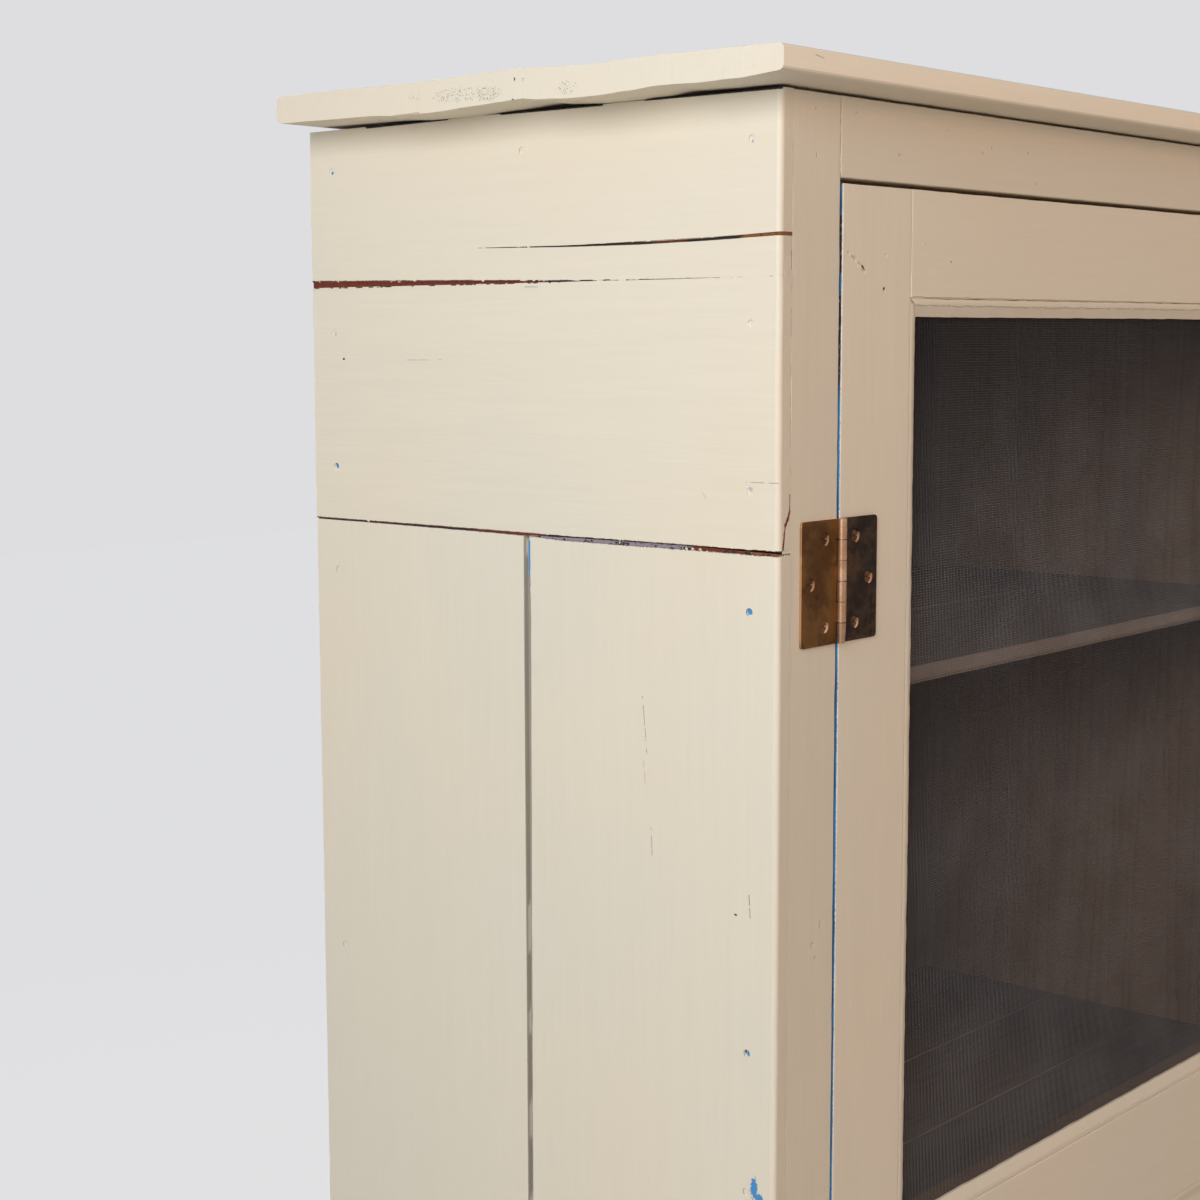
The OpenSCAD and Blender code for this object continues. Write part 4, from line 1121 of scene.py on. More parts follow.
# The top's end in section: distance behind the case's face, then underside and upper face over the case
TOP_SECTION = (
    (-29, 3.9, 18.7), (-12, 2.6, 18.9), (1, 1.7, 19.0), (30, 1.5, 19.1), (60, 2.2, 19.4), (71, 2.0, 19.4),
    (76, 1.0, 19.2), (92, 0.8, 18.8), (104, 0.0, 18.6), (114, 0.0, 18.4), (132, 0.0, 19.1), (142, 0.7, 19.6),
    (154, 1.2, 20.1), (160, 1.5, 20.5), (168, 2.6, 20.7), (182, 2.2, 20.8), (199, 1.5, 20.7), (222, 0.9, 20.2),
    (240, 0.0, 19.8), (262, 0.0, 19.6), (283, 0.1, 19.8), (292, 0.9, 19.9), (304, 1.5, 20.0), (345, 2.0, 20.2),
    (397, 2.6, 20.4),
)


def section_at(y):
    """Heights of the top's underside and upper face at a distance behind the case's face."""
    for (y0, low0, up0), (y1, low1, up1) in zip(TOP_SECTION, TOP_SECTION[1:]):
        if y <= y1:
            share = max(0.0, (y - y0) / (y1 - y0))
            return low0 + (low1 - low0) * share, up0 + (up1 - up0) * share
    return TOP_SECTION[-1][1:]


def bend_to_section(shape, spread):
    """Gives a top plank the section of the old, cupped top, and shuts the painted joints beside it."""
    rear = max(vert.co.y for vert in shape.verts)
    front = min(vert.co.y for vert in shape.verts)
    shut = []
    for vert in shape.verts:
        if spread[1] and vert.co.y > rear - CAD_ROUND:
            vert.co.y = rear + spread[1]
            shut.append(vert)
        if spread[0] and vert.co.y < front + CAD_ROUND:
            vert.co.y = front - spread[0]
            shut.append(vert)
    tree = BVHTree.FromBMesh(shape)
    kept = 4.5 * MM
    for vert in shape.verts:
        y = min(max(vert.co.y, front + kept), rear - kept)
        low = tree.ray_cast(Vector((0, y, CORNER.z - 0.1)), Vector((0, 0, 1)))[0].z
        high = tree.ray_cast(Vector((0, y, CORNER.z + 0.1)), Vector((0, 0, -1)))[0].z
        want_low, want_high = (CORNER.z + height * MM for height in section_at((vert.co.y - CORNER.y) / MM))
        share = min(max((vert.co.z - low) / (high - low), 0), 1)
        if vert in shut:
            share = float(round(share))
        vert.co.z = want_low * (1 - share) + want_high * share
    bmesh.ops.remove_doubles(shape, verts=shape.verts, dist=WELD)
    bmesh.ops.dissolve_degenerate(shape, edges=shape.edges, dist=WELD)


def build_top():
    """The three cupped planks of the top, with worn arrises and pitted ends."""
    pits = [
        {"at": (-37, y, drop), "half": (0, wide, high), "pitted": amount, "share": 0.62}
        for y, drop, wide, high, amount in (
            (222, -9.0, 50, 9.0, 0.55), (198, -8.0, 24, 8.5, 0.525), (131, -6.5, 15, 7.5, 0.53),
            (262, -10.5, 10, 6.0, 0.54), (60, -8, 30, 5.0, 0.64), (0, -8, 20, 5.0, 0.64),
        )
    ]
    dents = [{"at": (-37, 168, -14), "half": (0, 1.2, 1.2), "ragged": 1.4}]
    shut = 0.3 * MM
    joints = {"top_plank_front": (0, shut), "top_plank_middle": (shut, shut), "top_plank_rear": (shut, 0)}
    notches = [
        {"at": (-37, 176.5, -2.9), "end": (-37, 173.5, -1.6), "wide": (0.9, 1.1), "ragged": 0.8},
        {"at": (-37, 174, -1.4), "end": (-37, 164.5, 0.4), "wide": (1.0, 0.4), "ragged": 0.8},
        {"at": (-37, 174.6, -14.8), "half": (0, 0.5, 1.1), "ragged": 0.8},
    ]
    ledges = [{"at": (-37, 259, -0.4), "end": (-37, 283, -0.2), "wide": (1.3, 0.9), "ragged": 1.0, "share": 0.45}]
    scratches = [front_crack(-7, -14.6, 1, -13.2, 0.7, 0.4, share=0.5)]
    # Painted shade on the underside of the top and a painted highlight on its front face, as lit and shaded copies of
    # one paint
    finishes = [
        painted("cream_top", "X", {"dark": pits + notches, "bare": ledges, "dent": dents}),
        painted("cream_under_top", "X", shade=0.94),
        painted("cream_top_front", "X", {"dark": scratches}, shade=1.17, strokes=1.3),
    ]

    def top_faces(normal, centre):
        if normal.z < -0.7:
            return 1
        return 2 if normal.y < -0.6 else 0

    for node in joints:
        worn_copy(node, "X", "cream_paint", finishes, top_faces,
                  step=12, across=12, radius=2.0 * MM, least=3, joints=joints[node], seed=5)


def build_right_side():
    """The right side's upright planks."""
    inside = bare_wood("inside_right_planks", "Z", tint(216, 166, 112), tint(166, 118, 74))
    for node in ("right_front_plank", "right_centre_plank", "right_rear_plank"):
        worn_copy(node, "Z", "cream_paint", [painted("cream_right_planks", "Z"), inside],
                  lambda normal, centre: 1 if normal.x < -0.4 else 0, step=16, across=40)


def build_back():
    """The bare planks of the back."""
    for number in range(1, 5):
        node = "back_plank_%d" % number
        wood = bare_wood("wood_of_" + node, "Z", tint(160, 138, 118), tint(118, 98, 82), board=number)
        bare_copy(node, "Z", [wood], 24)


def build_inside():
    """Shelves, floor, cleats and the strip that the door meets."""
    # Painted highlight: the shelves' front edges get lighter wood than their tops, for the light that falls on them
    lit_front_edge_wood = bare_wood("shelf_front_edges", "X", tint(176, 158, 142), tint(132, 116, 102))
    for number, node in enumerate((
        "upper_shelf_front_board", "upper_shelf_rear_board", "middle_shelf_front_board",
        "middle_shelf_centre_board", "middle_shelf_rear_board", "lower_shelf_front_board",
        "lower_shelf_rear_board", "floor_front_board", "floor_rear_board", "door_stop",
    )):
        shelf_wood = bare_wood("wood_of_" + node, "X", tint(124, 112, 102), tint(88, 78, 72), board=number)
        bare_copy(node, "X", [shelf_wood, lit_front_edge_wood], 16, lambda normal, centre: 1 if normal.y < -0.5 else 0)
    for node in ("top_cleats", "shelf_cleats"):
        bare_copy(node, "Y", [bare_wood("cleats", "Y")], 16)


def build_door_frame():
    """Stiles and rails of the door."""
    door_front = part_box("door_hinge_stile")[0].y
    stile_marks = {
        "dent": [
            front_chip(x, drop, wide, high, ragged=1.8)
            for x, drop, wide, high in (
                (68, 91.5, 1.2, 1.0), (75, 95, 1.6, 1.4), (80, 98, 1.4, 1.2), (84, 101, 1.8, 1.6),
                (107, 114, 1.6, 1.6), (108.5, 92, 1.0, 1.2),
            )
        ],
        # Painted highlights beside the dents
        "pale": [
            front_chip(x, drop, 0.9, 1.1, ragged=1.5, share=0.85)
            for x, drop in ((70, 93.0), (76.5, 96.6), (79, 99.4), (86.4, 103.2), (107.8, 115.0), (109.2, 93.0))
        ],
        # The short dark marks beside the dents are painted shade of the dents; the two long lines are the joint
        # beside the stile
        "dark": [
            front_crack(83.0, 99.2, 85.2, 101.4, 1.7, 1.3, ragged=1.0),
            front_crack(66.5, 91.0, 82, 98.6, 0.5, 0.8, ragged=1.4, breaks=0.54, share=0.6),
            front_chip(106.6, 112.6, 1.0, 0.9, ragged=1.2),
            front_crack(136.4, 118, 136.4, 736, 0.5, 0.5, sway=1.2, share=0.55),
            front_crack(136.6, 51, 136.9, 118, 0.35, 0.3, breaks=0.35, share=0.7),
        ],
    }
    rail_marks = {
        "dent": [front_chip(153, 84, 0.9, 0.8)],
        "dark": [
            front_chip(182.7, 94.6, 0.7, 0.6, share=0.7),
            front_crack(136, 117.2, 628, 117.2, 0.6, 0.6, sway=2.0, share=0.4),
        ],
        "pale": [
            front_crack(137.4, 51, 137.6, 118, 0.4, 0.4, breaks=0.4, share=0.6),
        ],
    }
    hues = colour_settings()
    edge_blue = door_edge_finish("blue_door_edge", door_front, hues)
    inside = bare_wood("inside_door", "Z")

    def stile_faces(normal, centre):
        if normal.y > 0.4 and centre.y > door_front + 10 * MM:
            return 1
        if normal.x < -0.4 and centre.y > door_front + 0.3 * MM:
            return 2
        return 0

    # Painted shade: the stiles' paint is darkened a little for the shaded front
    for node, marks in (("door_hinge_stile", stile_marks), ("door_lock_stile", None)):
        cream = painted("cream_" + node, "Z", marks, 0.97, 1.4)
        worn_copy(node, "Z", "cream_paint", [cream, inside, edge_blue], stile_faces, step=8, across=20)
    # The same slight painted shade on the door's rails
    for node, marks in (("door_top_rail", rail_marks), ("door_middle_rail", None), ("door_bottom_rail", None)):
        cream = painted("cream_" + node, "X", marks, 0.97, 1.3)
        worn_copy(node, "X", "cream_paint", [cream, bare_wood("inside_door_rails", "X")],
                  lambda normal, centre: 1 if normal.y > 0.4 else 0, step=8, across=20)
    worn_copy("door_panel", "Z", "cream_paint", [painted("cream_door_panel", "Z"), inside],
              lambda normal, centre: 1 if normal.y > 0.4 else 0, step=16, across=20)


@made_once
def door_edge_finish(name, front, hues):
    """The door's edge at the hinges: cream in front, lighter than the paint as a painted highlight on the rounded
    arris, old blue paint behind, more of it lower down.
    """
    material, web, shader, position = start_material(name)
    split = web.put("SeparateXYZ", {"Vector": position}).outputs
    rough = web.speckle(position, 500.0, 3, 0.6)
    depth = web.calc("MULTIPLY_ADD", web.calc("SUBTRACT", rough, 0.5), 0.0012, split["Y"])
    behind = web.ease(depth, front + 0.45 * MM, front + 0.7 * MM)
    spots = web.speckle(web.stretch(position, (1.0, 1.0, 0.25)), 60.0, 3, 0.6)
    upper = marks_mask(web, position, [
        {"at": (62, 0, 60), "half": (0, 0, 10), "ragged": 0.4, "share": 0.7},
        {"at": (62, 0, 110.5), "half": (0, 0, 6.7), "ragged": 0.3},
    ])
    lower = web.ease(split["Z"], place(0, 0, 160).z, place(0, 0, 185).z)
    share = web.calc("MAXIMUM", upper, lower)
    blue = web.mix(web.ease(spots, 0.4, 0.62), solid(tint(70, 130, 184)), solid(tint(96, 172, 228)))
    grey = web.mix(web.ease(rough, 0.55, 0.7), solid(tint(70, 70, 78)), solid(tint(196, 198, 204)))
    back = web.mix(share, grey, blue)
    # The cream in front is a painted highlight on the lit arris
    web.feed(shader.inputs["Base Color"], web.mix(behind, solid(tint(240, 232, 216)), back))
    web.feed(shader.inputs["Roughness"], web.scale(rough, 0.4, 0.65))
    add_bump(web, shader, rough, 0.2)
    return material


def build_mouldings():
    """Mitred mouldings round the screen and the lower panel, and the beads behind them."""
    valley = {
        "dark": [
            # Painted shade: a wavy dark line along the top moulding's valley
            front_crack(142, 122.6, 620, 122.6, 1.0, 1.0, sway=3.0, ragged=1.6, breaks=0.4, share=0.26),
            front_crack(137, 118.5, 143, 123, 0.7, 0.5, sway=1.5, share=0.5),
        ],
        "pale": [
            front_crack(141, 119.4, 147, 121, 0.8, 0.4, sway=2.0, share=0.7),
        ],
    }
    # Painted shade: the mouldings' paint is darkened to 0.94 because their sloped faces catch more light
    for side, grain in (("top", "X"), ("bottom", "X"), ("left", "Z"), ("right", "Z")):
        marks = valley if side == "top" else None
        worn_copy("screen_moulding_" + side, grain, "cream_paint",
                  [painted("cream_moulding_" + side, grain, marks, shade=0.94)],
                  radius=0.45 * MM, step=4, least=3, wobble=1.5)
    # The same painted shade on the panel's mouldings
    worn_copy("panel_mouldings", "X", "cream_paint", [painted("cream_moulding_X", "X", shade=0.94)],
              radius=0.45 * MM, step=6, least=3, wobble=0.9)
    worn_copy("rear_beads", "Z", "inside_wood", [bare_wood("inside_door", "Z")], radius=0.4 * MM, step=0)


# Painted shade on the wires for the shadow under the upper shelf: a dark band that starts this far over the shelf's
# underside and fades out this far below that
SHELF_SHADE_ABOVE = 9 * MM
SHELF_SHADE_DEEP = 120 * MM
SHELF_SHADE_SHARE = 0.8


def build_wire_screen():
    """The woven screen: straight wires in two layers."""
    weave = bpy.context.scene.armoire_screen
    low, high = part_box("wire_screen")
    hues = colour_settings()
    rng = random.Random(7)
    shape = bmesh.new()
    layers = (("X", "Z", weave.pitch_across, -0.7), ("Z", "X", weave.pitch_up, 0.7))
    middle = (low.y + high.y) / 2
    for axis, run, pitch, side in layers:
        a, b = "XYZ".index(axis), "XYZ".index(run)
        inside = weave.wire_radius * 2
        length = high[b] - low[b] - 0.2 * MM
        turn = Matrix.Rotation(math.pi / 2, 4, "Y") if run == "X" else Matrix.Identity(4)
        count = int((high[a] - low[a] - 2 * inside) / pitch)
        for n in range(count + 1):
            spot = Vector((0, middle + side * weave.wire_radius, 0))
            spot[a] = low[a] + inside + n * pitch + rng.uniform(-0.06, 0.06) * MM
            spot[b] = (low[b] + high[b]) / 2
            bmesh.ops.create_cone(
                shape,
                cap_ends=True,
                segments=5,
                radius1=weave.wire_radius,
                radius2=weave.wire_radius,
                depth=length,
                matrix=Matrix.Translation(spot) @ turn,
            )
    material, web, shader, position = start_material("weathered_wire")
    tone = web.speckle(position, 16.0, 3, 0.55)
    dusty = web.mix(web.ease(tone, 0.3, 0.7), solid(hues.wire), solid(tint(97, 94, 94)))
    level = web.put("SeparateXYZ", {"Vector": position}).outputs["Z"]
    # Painted shade: the wires darken towards the top of the screen, where the top rail and the top overhang shade
    # them
    top_shade = web.ease(level, place(0, 0, 300).z, place(0, 0, 130).z)
    colour = web.mix(top_shade, dusty, solid(tint(56, 56, 60)))
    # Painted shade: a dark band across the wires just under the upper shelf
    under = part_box("upper_shelf_front_board")[0].z + SHELF_SHADE_ABOVE
    shelf_shade = web.calc("MULTIPLY", web.ease(level, under - SHELF_SHADE_DEEP, under), web.calc("LESS_THAN", level, under))
    colour = web.mix(web.calc("MULTIPLY", shelf_shade, SHELF_SHADE_SHARE), colour, solid(tint(52, 52, 55)))
    web.feed(shader.inputs["Base Color"], colour)
    web.feed(shader.inputs["Roughness"], web.scale(tone, 0.5, 0.8))
    shader.inputs["Metallic"].default_value = 0.4
    finish_piece(shape, "woven_wire_screen", "door", [material], None, ("wire_screen",), even=False)


# Distances from the middle of a hinge's pin: the knuckles end here, the screws begin after this, and past this
# the leaf's outer edges are brightened as a painted highlight
KNUCKLES_TO = 3.1 * MM
SCREWS_FROM = 8 * MM
RIM_FROM = 38 * MM
# How far the screws' heads lie below the leaves, and what counts as a head
SCREW_SINK = 0.6 * MM
HEAD_DEPTH = 1.2 * MM


def screw_brass():
    return aged_brass("aged_brass_screws", bright=tint(118, 84, 52), brown=tint(84, 56, 32), black_from=0.55)


def build_hinges():
    """Butt hinges with their pins and screws."""
    leaf = aged_brass("aged_brass_leaves", bright=tint(126, 86, 38), brown=tint(84, 54, 22), black_from=0.62)
    dark_leaf = aged_brass("dark_brass_leaves", bright=tint(78, 52, 28), brown=tint(40, 27, 16), black_from=0.45)
    # The knuckles' light brass is partly rubbed brass and partly a painted highlight on the round barrel
    bar = aged_brass("aged_brass_knuckles", bright=tint(206, 170, 140), brown=tint(160, 122, 92), black_from=0.62)
    axis_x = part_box("hinge_pins")[0].x * 0.5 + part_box("hinge_pins")[1].x * 0.5
    # Painted highlight on the leaves' outer edges, which face the light
    rim_highlight = aged_brass("bright_brass_rims", bright=tint(210, 170, 130), brown=tint(176, 136, 98), black_from=0.68)

    def parts(normal, centre):
        away = abs(centre.x - axis_x)
        if away < KNUCKLES_TO:
            return 1
        if not -0.95 < normal.y < 0.5:
            return 0
        if away > RIM_FROM:
            return 2 if abs(normal.x) > 0.3 else 0
        # The lower right wall of a countersink gets the light knuckle brass as a painted highlight
        return 1 if away > SCREWS_FROM and normal.x < -0.1 and normal.z > -0.35 else 0

    for node in ("upper_hinge_frame_leaf", "upper_hinge_door_leaf", "lower_hinge_frame_leaf",
                 "lower_hinge_door_leaf"):
        dress_node(node, [dark_leaf if "door" in node else leaf, bar, rim_highlight], 0.7 * MM, 3, parts)
    dress_node("hinge_pins", [bar])
    for node in ("frame_hinge_screws", "door_hinge_screws"):
        shape = cad_copy(node)
        face = min(vert.co.y for vert in shape.verts)
        for vert in shape.verts:
            if vert.co.y < face + HEAD_DEPTH:
                vert.co.y += SCREW_SINK
        head = face + SCREW_SINK + WELD
        edges = outer_arrises(shape, 0.2 * MM, lambda edge: all(v.co.y < head for v in edge.verts))
        round_off(shape, edges, 0.12 * MM, 2)
        body = frame["nodes"][node]["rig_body"]
        finish_piece(shape, "worn_" + node, body, [screw_brass()], None, (node,))


# Year rings of the turned wood, to the metre
KNOB_RINGS = 160.0


def build_knob():
    """The turned knob."""
    hues = colour_settings()
    dress_node("knob", [bare_wood("knob_timber", "Y", hues.knob_wood, hues.stain, KNOB_RINGS)])


def build_turn_button():
    """The turn button with its screw."""
    hues = colour_settings()
    timber_finish = bare_wood("button_timber", "Z", hues.knob_wood, hues.stain, KNOB_RINGS)
    dress_node("turn_button", [timber_finish], 0.8 * MM, 1.5)
    dress_node("turn_button_screw", [screw_brass()])


def fill_strip(name, path, thick, finish):
    """A thin uneven sliver that follows a joint, just inside it. The path holds x, y, drop and width."""
    shape = bmesh.new()
    bmesh.ops.create_grid(shape, x_segments=len(path) - 1, y_segments=1, size=0.5)
    columns = sorted({round(vert.co.x, 5) for vert in shape.verts})
    for vert in shape.verts:
        x, y, drop, width = path[columns.index(round(vert.co.x, 5))]
        up = 0.5 if vert.co.y > 0 else -0.5
        vert.co = place(x, y, drop - up * width)
    shape.normal_update()
    bmesh.ops.solidify(shape, geom=shape.faces[:], thickness=thick * MM)
    bmesh.ops.recalc_face_normals(shape, faces=shape.faces)
    finish_piece(shape, name, "case", [finish])


def along_finish(name, stops, ragged=0.004, shine=0.7):
    """Colours that change from front to rear of the case, at ragged places. A stop is y and a colour."""
    material, web, shader, position = start_material(name)
    depth = web.put("SeparateXYZ", {"Vector": position}).outputs["Y"]
    rough = web.speckle(position, 420.0, 4, 0.65)
    grit = web.speckle(web.stretch(position, (1.0, 0.25, 1.0)), 1500.0, 3, 0.6)
    spot = web.calc("MULTIPLY_ADD", web.calc("SUBTRACT", rough, 0.5), ragged, depth)
    colour = solid(stops[0][1])
    for (y, tone), (before, _) in zip(stops[1:], stops):
        edge = place(0, (y + before) / 2, 0).y
        colour = web.mix(web.ease(spot, edge - 0.004, edge + 0.004), colour, solid(tone))
    dark = web.mix(web.ease(grit, 0.5, 0.66), colour, solid(colour_settings().shadow))
    web.feed(shader.inputs["Base Color"], dark)
    shader.inputs["Roughness"].default_value = shine
    add_bump(web, shader, grit, 0.4)
    return material


def build_joint_fillings():
    """What shows inside the split and the open joints of the left side, with painted shade where they open into the
    dark inside.
    """
    hues = colour_settings()
    # Painted shade: black and the deep-crack colour in these strips stand for the dark inside the split and the
    # joints
    black = tint(24, 16, 12)
    split_path = (
        (11.9, 0.9, 82.3, 3.0), (5.0, 0.9, 82.4, 3.0), (2.6, 1.2, 82.5, 3.0), (1.6, 2.2, 82.6, 3.0),
        (1.4, 25, 83.5, 3.2), (1.4, 59, 84.1, 3.0), (1.4, 90, 84.8, 2.4), (1.4, 120, 85.1, 2.0),
        (1.4, 150, 85.1, 1.5), (1.4, 170, 85.0, 1.2), (1.4, 190, 84.8, 0.9),
    )
    fill_strip("split_bottom", split_path, 0.6, along_finish(
        "split_wood", [(0, hues.orange_wood), (24, hues.orange_wood), (34, black), (62, black), (80, hues.red_wood),
                       (110, hues.shadow), (190, black)]))
    lower_path = [
        (0.5, y, drop, 1.7)
        for y, drop in ((1, 269.0), (25, 268.8), (66, 268.2), (95, 268.4), (130, 268.6), (172, 268.9), (200, 267.9),
                        (230, 267.7), (320, 267.4), (404, 267.6))
    ]
    upper_path = [
        (1.0, y, 107.0 - gap / 2, gap + 0.3)
        for y, gap in ((150, 0.5), (200, 1.1), (250, 1.8), (300, 2.5), (350, 3.2), (405.6, 4.0))
    ]
    fill_strip("upper_joint_filling", upper_path, 0.4, along_finish(
        "upper_joint_wood", [(150, hues.shadow), (215, hues.red_wood), (405, hues.red_wood)], shine=0.8))
    fill_strip("lower_joint_filling", lower_path, 0.4, along_finish(
        "lower_joint_wood", [(0, hues.orange_wood), (24, hues.orange_wood), (36, hues.red_wood),
                             (62, hues.red_wood), (70, hues.lilac), (165, hues.lilac), (178, hues.shadow),
                             (190, hues.red_wood), (240, hues.red_wood), (262, hues.shadow), (404, black)]))
    front_path = [(x, 0.25, 267.5, 2.1) for x in (4.6, 6.5, 9.0, 11.9)]
    fill_strip("joint_end_paint", front_path, 0.3, painted("cream_joint_end", "X"))


def build_stage():
    """Floor, background, light and camera."""
    stage = bpy.context.scene.armoire_stage
    shape = bmesh.new()
    bmesh.ops.create_grid(shape, x_segments=2, y_segments=2, size=12.0)
    mesh = bpy.data.meshes.new("studio_floor")
    shape.to_mesh(mesh)
    shape.free()
    floor = bpy.data.objects.new("studio_floor", mesh)
    bpy.context.scene.collection.objects.link(floor)
    material, web, shader, position = start_material("pale_floor")
    tone = web.speckle(position, 3.0, 3, 0.5)
    pale = solid(tint(222, 222, 224))
    web.feed(shader.inputs["Base Color"], web.mix(tone, solid(tint(226, 224, 220)), solid(tint(232, 230, 226))))
    shader.inputs["Roughness"].default_value = 0.8
    glow = web.put("Emission", {"Color": solid(tint(230, 230, 232)), "Strength": 1.0}).outputs[0]
    rays = web.put("LightPath", {}).outputs
    share = web.calc("MULTIPLY", rays["Is Camera Ray"], 0.9)
    both = web.put("MixShader", {0: share, 1: shader.outputs[0], 2: glow}).outputs[0]
    web.feed(material.node_tree.nodes["Material Output"].inputs["Surface"], both)
    mesh.materials.append(material)

    world = bpy.data.worlds.new("studio")
    bpy.context.scene.world = world
    world.use_nodes = True
    web = Web(world.node_tree)
    world.node_tree.nodes.clear()
    rays = web.put("LightPath", {}).outputs
    seen = web.calc("MAXIMUM", web.calc("MAXIMUM", rays["Is Camera Ray"], rays["Is Glossy Ray"]),
                    rays["Is Transmission Ray"])
    room = web.put("Background", {"Color": solid(tint(232, 244, 255)), "Strength": stage.room_strength})
    backdrop = web.put("Background", {"Color": pale, "Strength": 1.0})
    both = web.put("MixShader", {0: seen, 1: room.outputs[0], 2: backdrop.outputs[0]})
    web.put("OutputWorld", {"Surface": both.outputs[0]})

    def lamp(name, spot, aim, size, power, colour):
        light = bpy.data.lights.new(name, "AREA")
        light.shape = "RECTANGLE"
        light.size, light.size_y = size
        light.energy = power
        light.color = colour
        thing = bpy.data.objects.new(name, light)
        thing.location = spot
        thing.rotation_euler = (Vector(aim) - Vector(spot)).to_track_quat("-Z", "Y").to_euler()
        bpy.context.scene.collection.objects.link(thing)

    lamp("window_light", (-2.05, -0.61, 2.0), (-0.35, -0.05, 1.35), (1.2, 1.0), stage.key_power,
         tint(251, 251, 255))
    lamp("rear_light", (1.5, 2.6, 2.1), (0.1, 0.1, 0.9), (1.8, 1.8), stage.rear_power, tint(255, 246, 236))
    lamp("room_light", (0.5, -2.9, 2.3), (0.0, -0.1, 1.1), (2.0, 1.6), stage.fill_power, tint(255, 198, 146))

    lens = bpy.data.cameras.new("camera")
    lens.lens = stage.lens
    lens.sensor_width = 36.0
    lens.clip_end = 60.0
    forward = Vector((math.cos(stage.yaw) * math.cos(stage.pitch), math.sin(stage.yaw) * math.cos(stage.pitch),
                      math.sin(stage.pitch)))
    level = Vector((math.sin(stage.yaw), -math.cos(stage.yaw), 0))
    upright = level.cross(forward)
    right = level * math.cos(stage.roll) + upright * math.sin(stage.roll)
    up = upright * math.cos(stage.roll) - level * math.sin(stage.roll)
    turn = Matrix((right, up, -forward)).transposed().to_4x4()
    camera = bpy.data.objects.new("camera", lens)
    camera.matrix_world = Matrix.Translation(Vector(stage.eye)) @ turn
    bpy.context.scene.collection.objects.link(camera)
    bpy.context.scene.camera = camera
    bpy.context.scene.view_settings.view_transform = "Standard"


# ---- Operators and panel ----


class ARMOIRE_OT_stage(bpy.types.Operator):
    """Puts down the floor, the light and the camera."""

    bl_idname = "armoire.stage"
    bl_label = "Stage"

    def execute(self, context):
        build_stage()
        return {"FINISHED"}


class ARMOIRE_OT_left_side(bpy.types.Operator):
    """Makes the boards and planks of the left side."""

    bl_idname = "armoire.left_side"
    bl_label = "Left side"

    def execute(self, context):
        build_left_side()
        return {"FINISHED"}


class ARMOIRE_OT_nails(bpy.types.Operator):
    """Makes the punched nails of both sides."""

    bl_idname = "armoire.nails"
    bl_label = "Nails"

    def execute(self, context):
        build_nails()
        return {"FINISHED"}


class ARMOIRE_OT_joint_fillings(bpy.types.Operator):
    """Makes the wood and old paint inside the open joints."""

    bl_idname = "armoire.joint_fillings"
    bl_label = "Joint fillings"

    def execute(self, context):
        build_joint_fillings()
        return {"FINISHED"}


class ARMOIRE_OT_case_frame(bpy.types.Operator):
    """Makes the posts and rails."""

    bl_idname = "armoire.case_frame"
    bl_label = "Case frame"

    def execute(self, context):
        build_case_frame()
        return {"FINISHED"}


class ARMOIRE_OT_top(bpy.types.Operator):
    """Makes the planks of the top."""

    bl_idname = "armoire.top"
    bl_label = "Top"

    def execute(self, context):
        build_top()
        return {"FINISHED"}


class ARMOIRE_OT_right_side(bpy.types.Operator):
    """Makes the planks of the right side."""

    bl_idname = "armoire.right_side"
    bl_label = "Right side"

    def execute(self, context):
        build_right_side()
        return {"FINISHED"}


class ARMOIRE_OT_back(bpy.types.Operator):
    """Makes the planks of the back."""

    bl_idname = "armoire.back"
    bl_label = "Back"

    def execute(self, context):
        build_back()
        return {"FINISHED"}


class ARMOIRE_OT_inside(bpy.types.Operator):
    """Makes the shelves, the floor and the cleats."""

    bl_idname = "armoire.inside"
    bl_label = "Inside"

    def execute(self, context):
        build_inside()
        return {"FINISHED"}


class ARMOIRE_OT_door_frame(bpy.types.Operator):
    """Makes the stiles, rails and panel of the door."""

    bl_idname = "armoire.door_frame"
    bl_label = "Door frame"

    def execute(self, context):
        build_door_frame()
        return {"FINISHED"}


class ARMOIRE_OT_mouldings(bpy.types.Operator):
    """Makes the mouldings and beads of the door."""

    bl_idname = "armoire.mouldings"
    bl_label = "Mouldings"

    def execute(self, context):
        build_mouldings()
        return {"FINISHED"}


class ARMOIRE_OT_wire_screen(bpy.types.Operator):
    """Makes the woven wires of the screen."""

    bl_idname = "armoire.wire_screen"
    bl_label = "Wire screen"

    def execute(self, context):
        build_wire_screen()
        return {"FINISHED"}


class ARMOIRE_OT_hinges(bpy.types.Operator):
    """Makes the butt hinges, their pins and screws."""

    bl_idname = "armoire.hinges"
    bl_label = "Hinges"

    def execute(self, context):
        build_hinges()
        return {"FINISHED"}


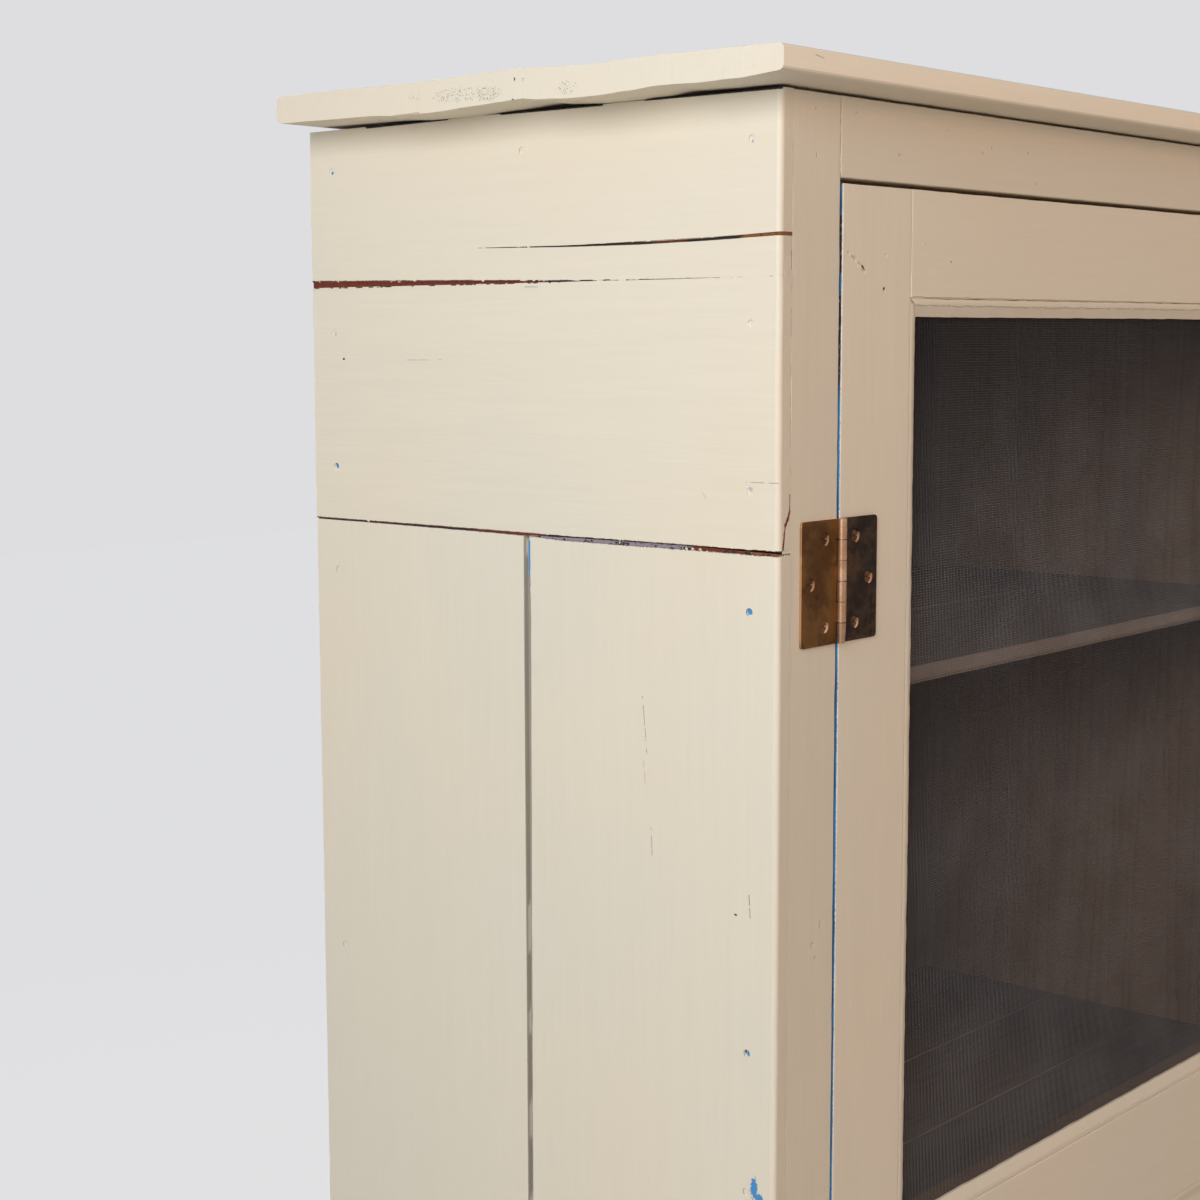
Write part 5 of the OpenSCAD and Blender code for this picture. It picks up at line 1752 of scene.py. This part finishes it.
class ARMOIRE_OT_knob(bpy.types.Operator):
    """Makes the turned knob."""

    bl_idname = "armoire.knob"
    bl_label = "Knob"

    def execute(self, context):
        build_knob()
        return {"FINISHED"}


class ARMOIRE_OT_turn_button(bpy.types.Operator):
    """Makes the turn button and its screw."""

    bl_idname = "armoire.turn_button"
    bl_label = "Turn button"

    def execute(self, context):
        build_turn_button()
        return {"FINISHED"}


OPERATORS = (
    ARMOIRE_OT_stage,
    ARMOIRE_OT_left_side,
    ARMOIRE_OT_nails,
    ARMOIRE_OT_joint_fillings,
    ARMOIRE_OT_case_frame,
    ARMOIRE_OT_top,
    ARMOIRE_OT_right_side,
    ARMOIRE_OT_back,
    ARMOIRE_OT_inside,
    ARMOIRE_OT_door_frame,
    ARMOIRE_OT_mouldings,
    ARMOIRE_OT_wire_screen,
    ARMOIRE_OT_hinges,
    ARMOIRE_OT_knob,
    ARMOIRE_OT_turn_button,
)


class ARMOIRE_PT_panel(bpy.types.Panel):
    """Lists the steps and their settings."""

    bl_idname = "ARMOIRE_PT_panel"
    bl_label = "Armoire"
    bl_space_type = "VIEW_3D"
    bl_region_type = "UI"
    bl_category = "Armoire"

    def draw(self, context):
        for step in OPERATORS:
            self.layout.operator(step.bl_idname)
        for group in SETTINGS:
            box = self.layout.box()
            for key in SETTINGS[group].__annotations__:
                box.prop(getattr(context.scene, group), key)


SETTINGS = {
    "armoire_colours": ArmoireColours,
    "armoire_wear": ArmoireWear,
    "armoire_screen": ArmoireScreen,
    "armoire_stage": ArmoireStage,
}


def register():
    for cls in (*SETTINGS.values(), *OPERATORS, ARMOIRE_PT_panel):
        bpy.utils.register_class(cls)
    for name, cls in SETTINGS.items():
        setattr(bpy.types.Scene, name, bpy.props.PointerProperty(type=cls))


def unregister():
    for name in SETTINGS:
        delattr(bpy.types.Scene, name)
    for cls in reversed((*SETTINGS.values(), *OPERATORS, ARMOIRE_PT_panel)):
        bpy.utils.unregister_class(cls)


def main():
    register()
    for step in OPERATORS:
        getattr(bpy.ops.armoire, step.bl_idname.split(".")[1])()


if __name__ == "__main__":
    main()
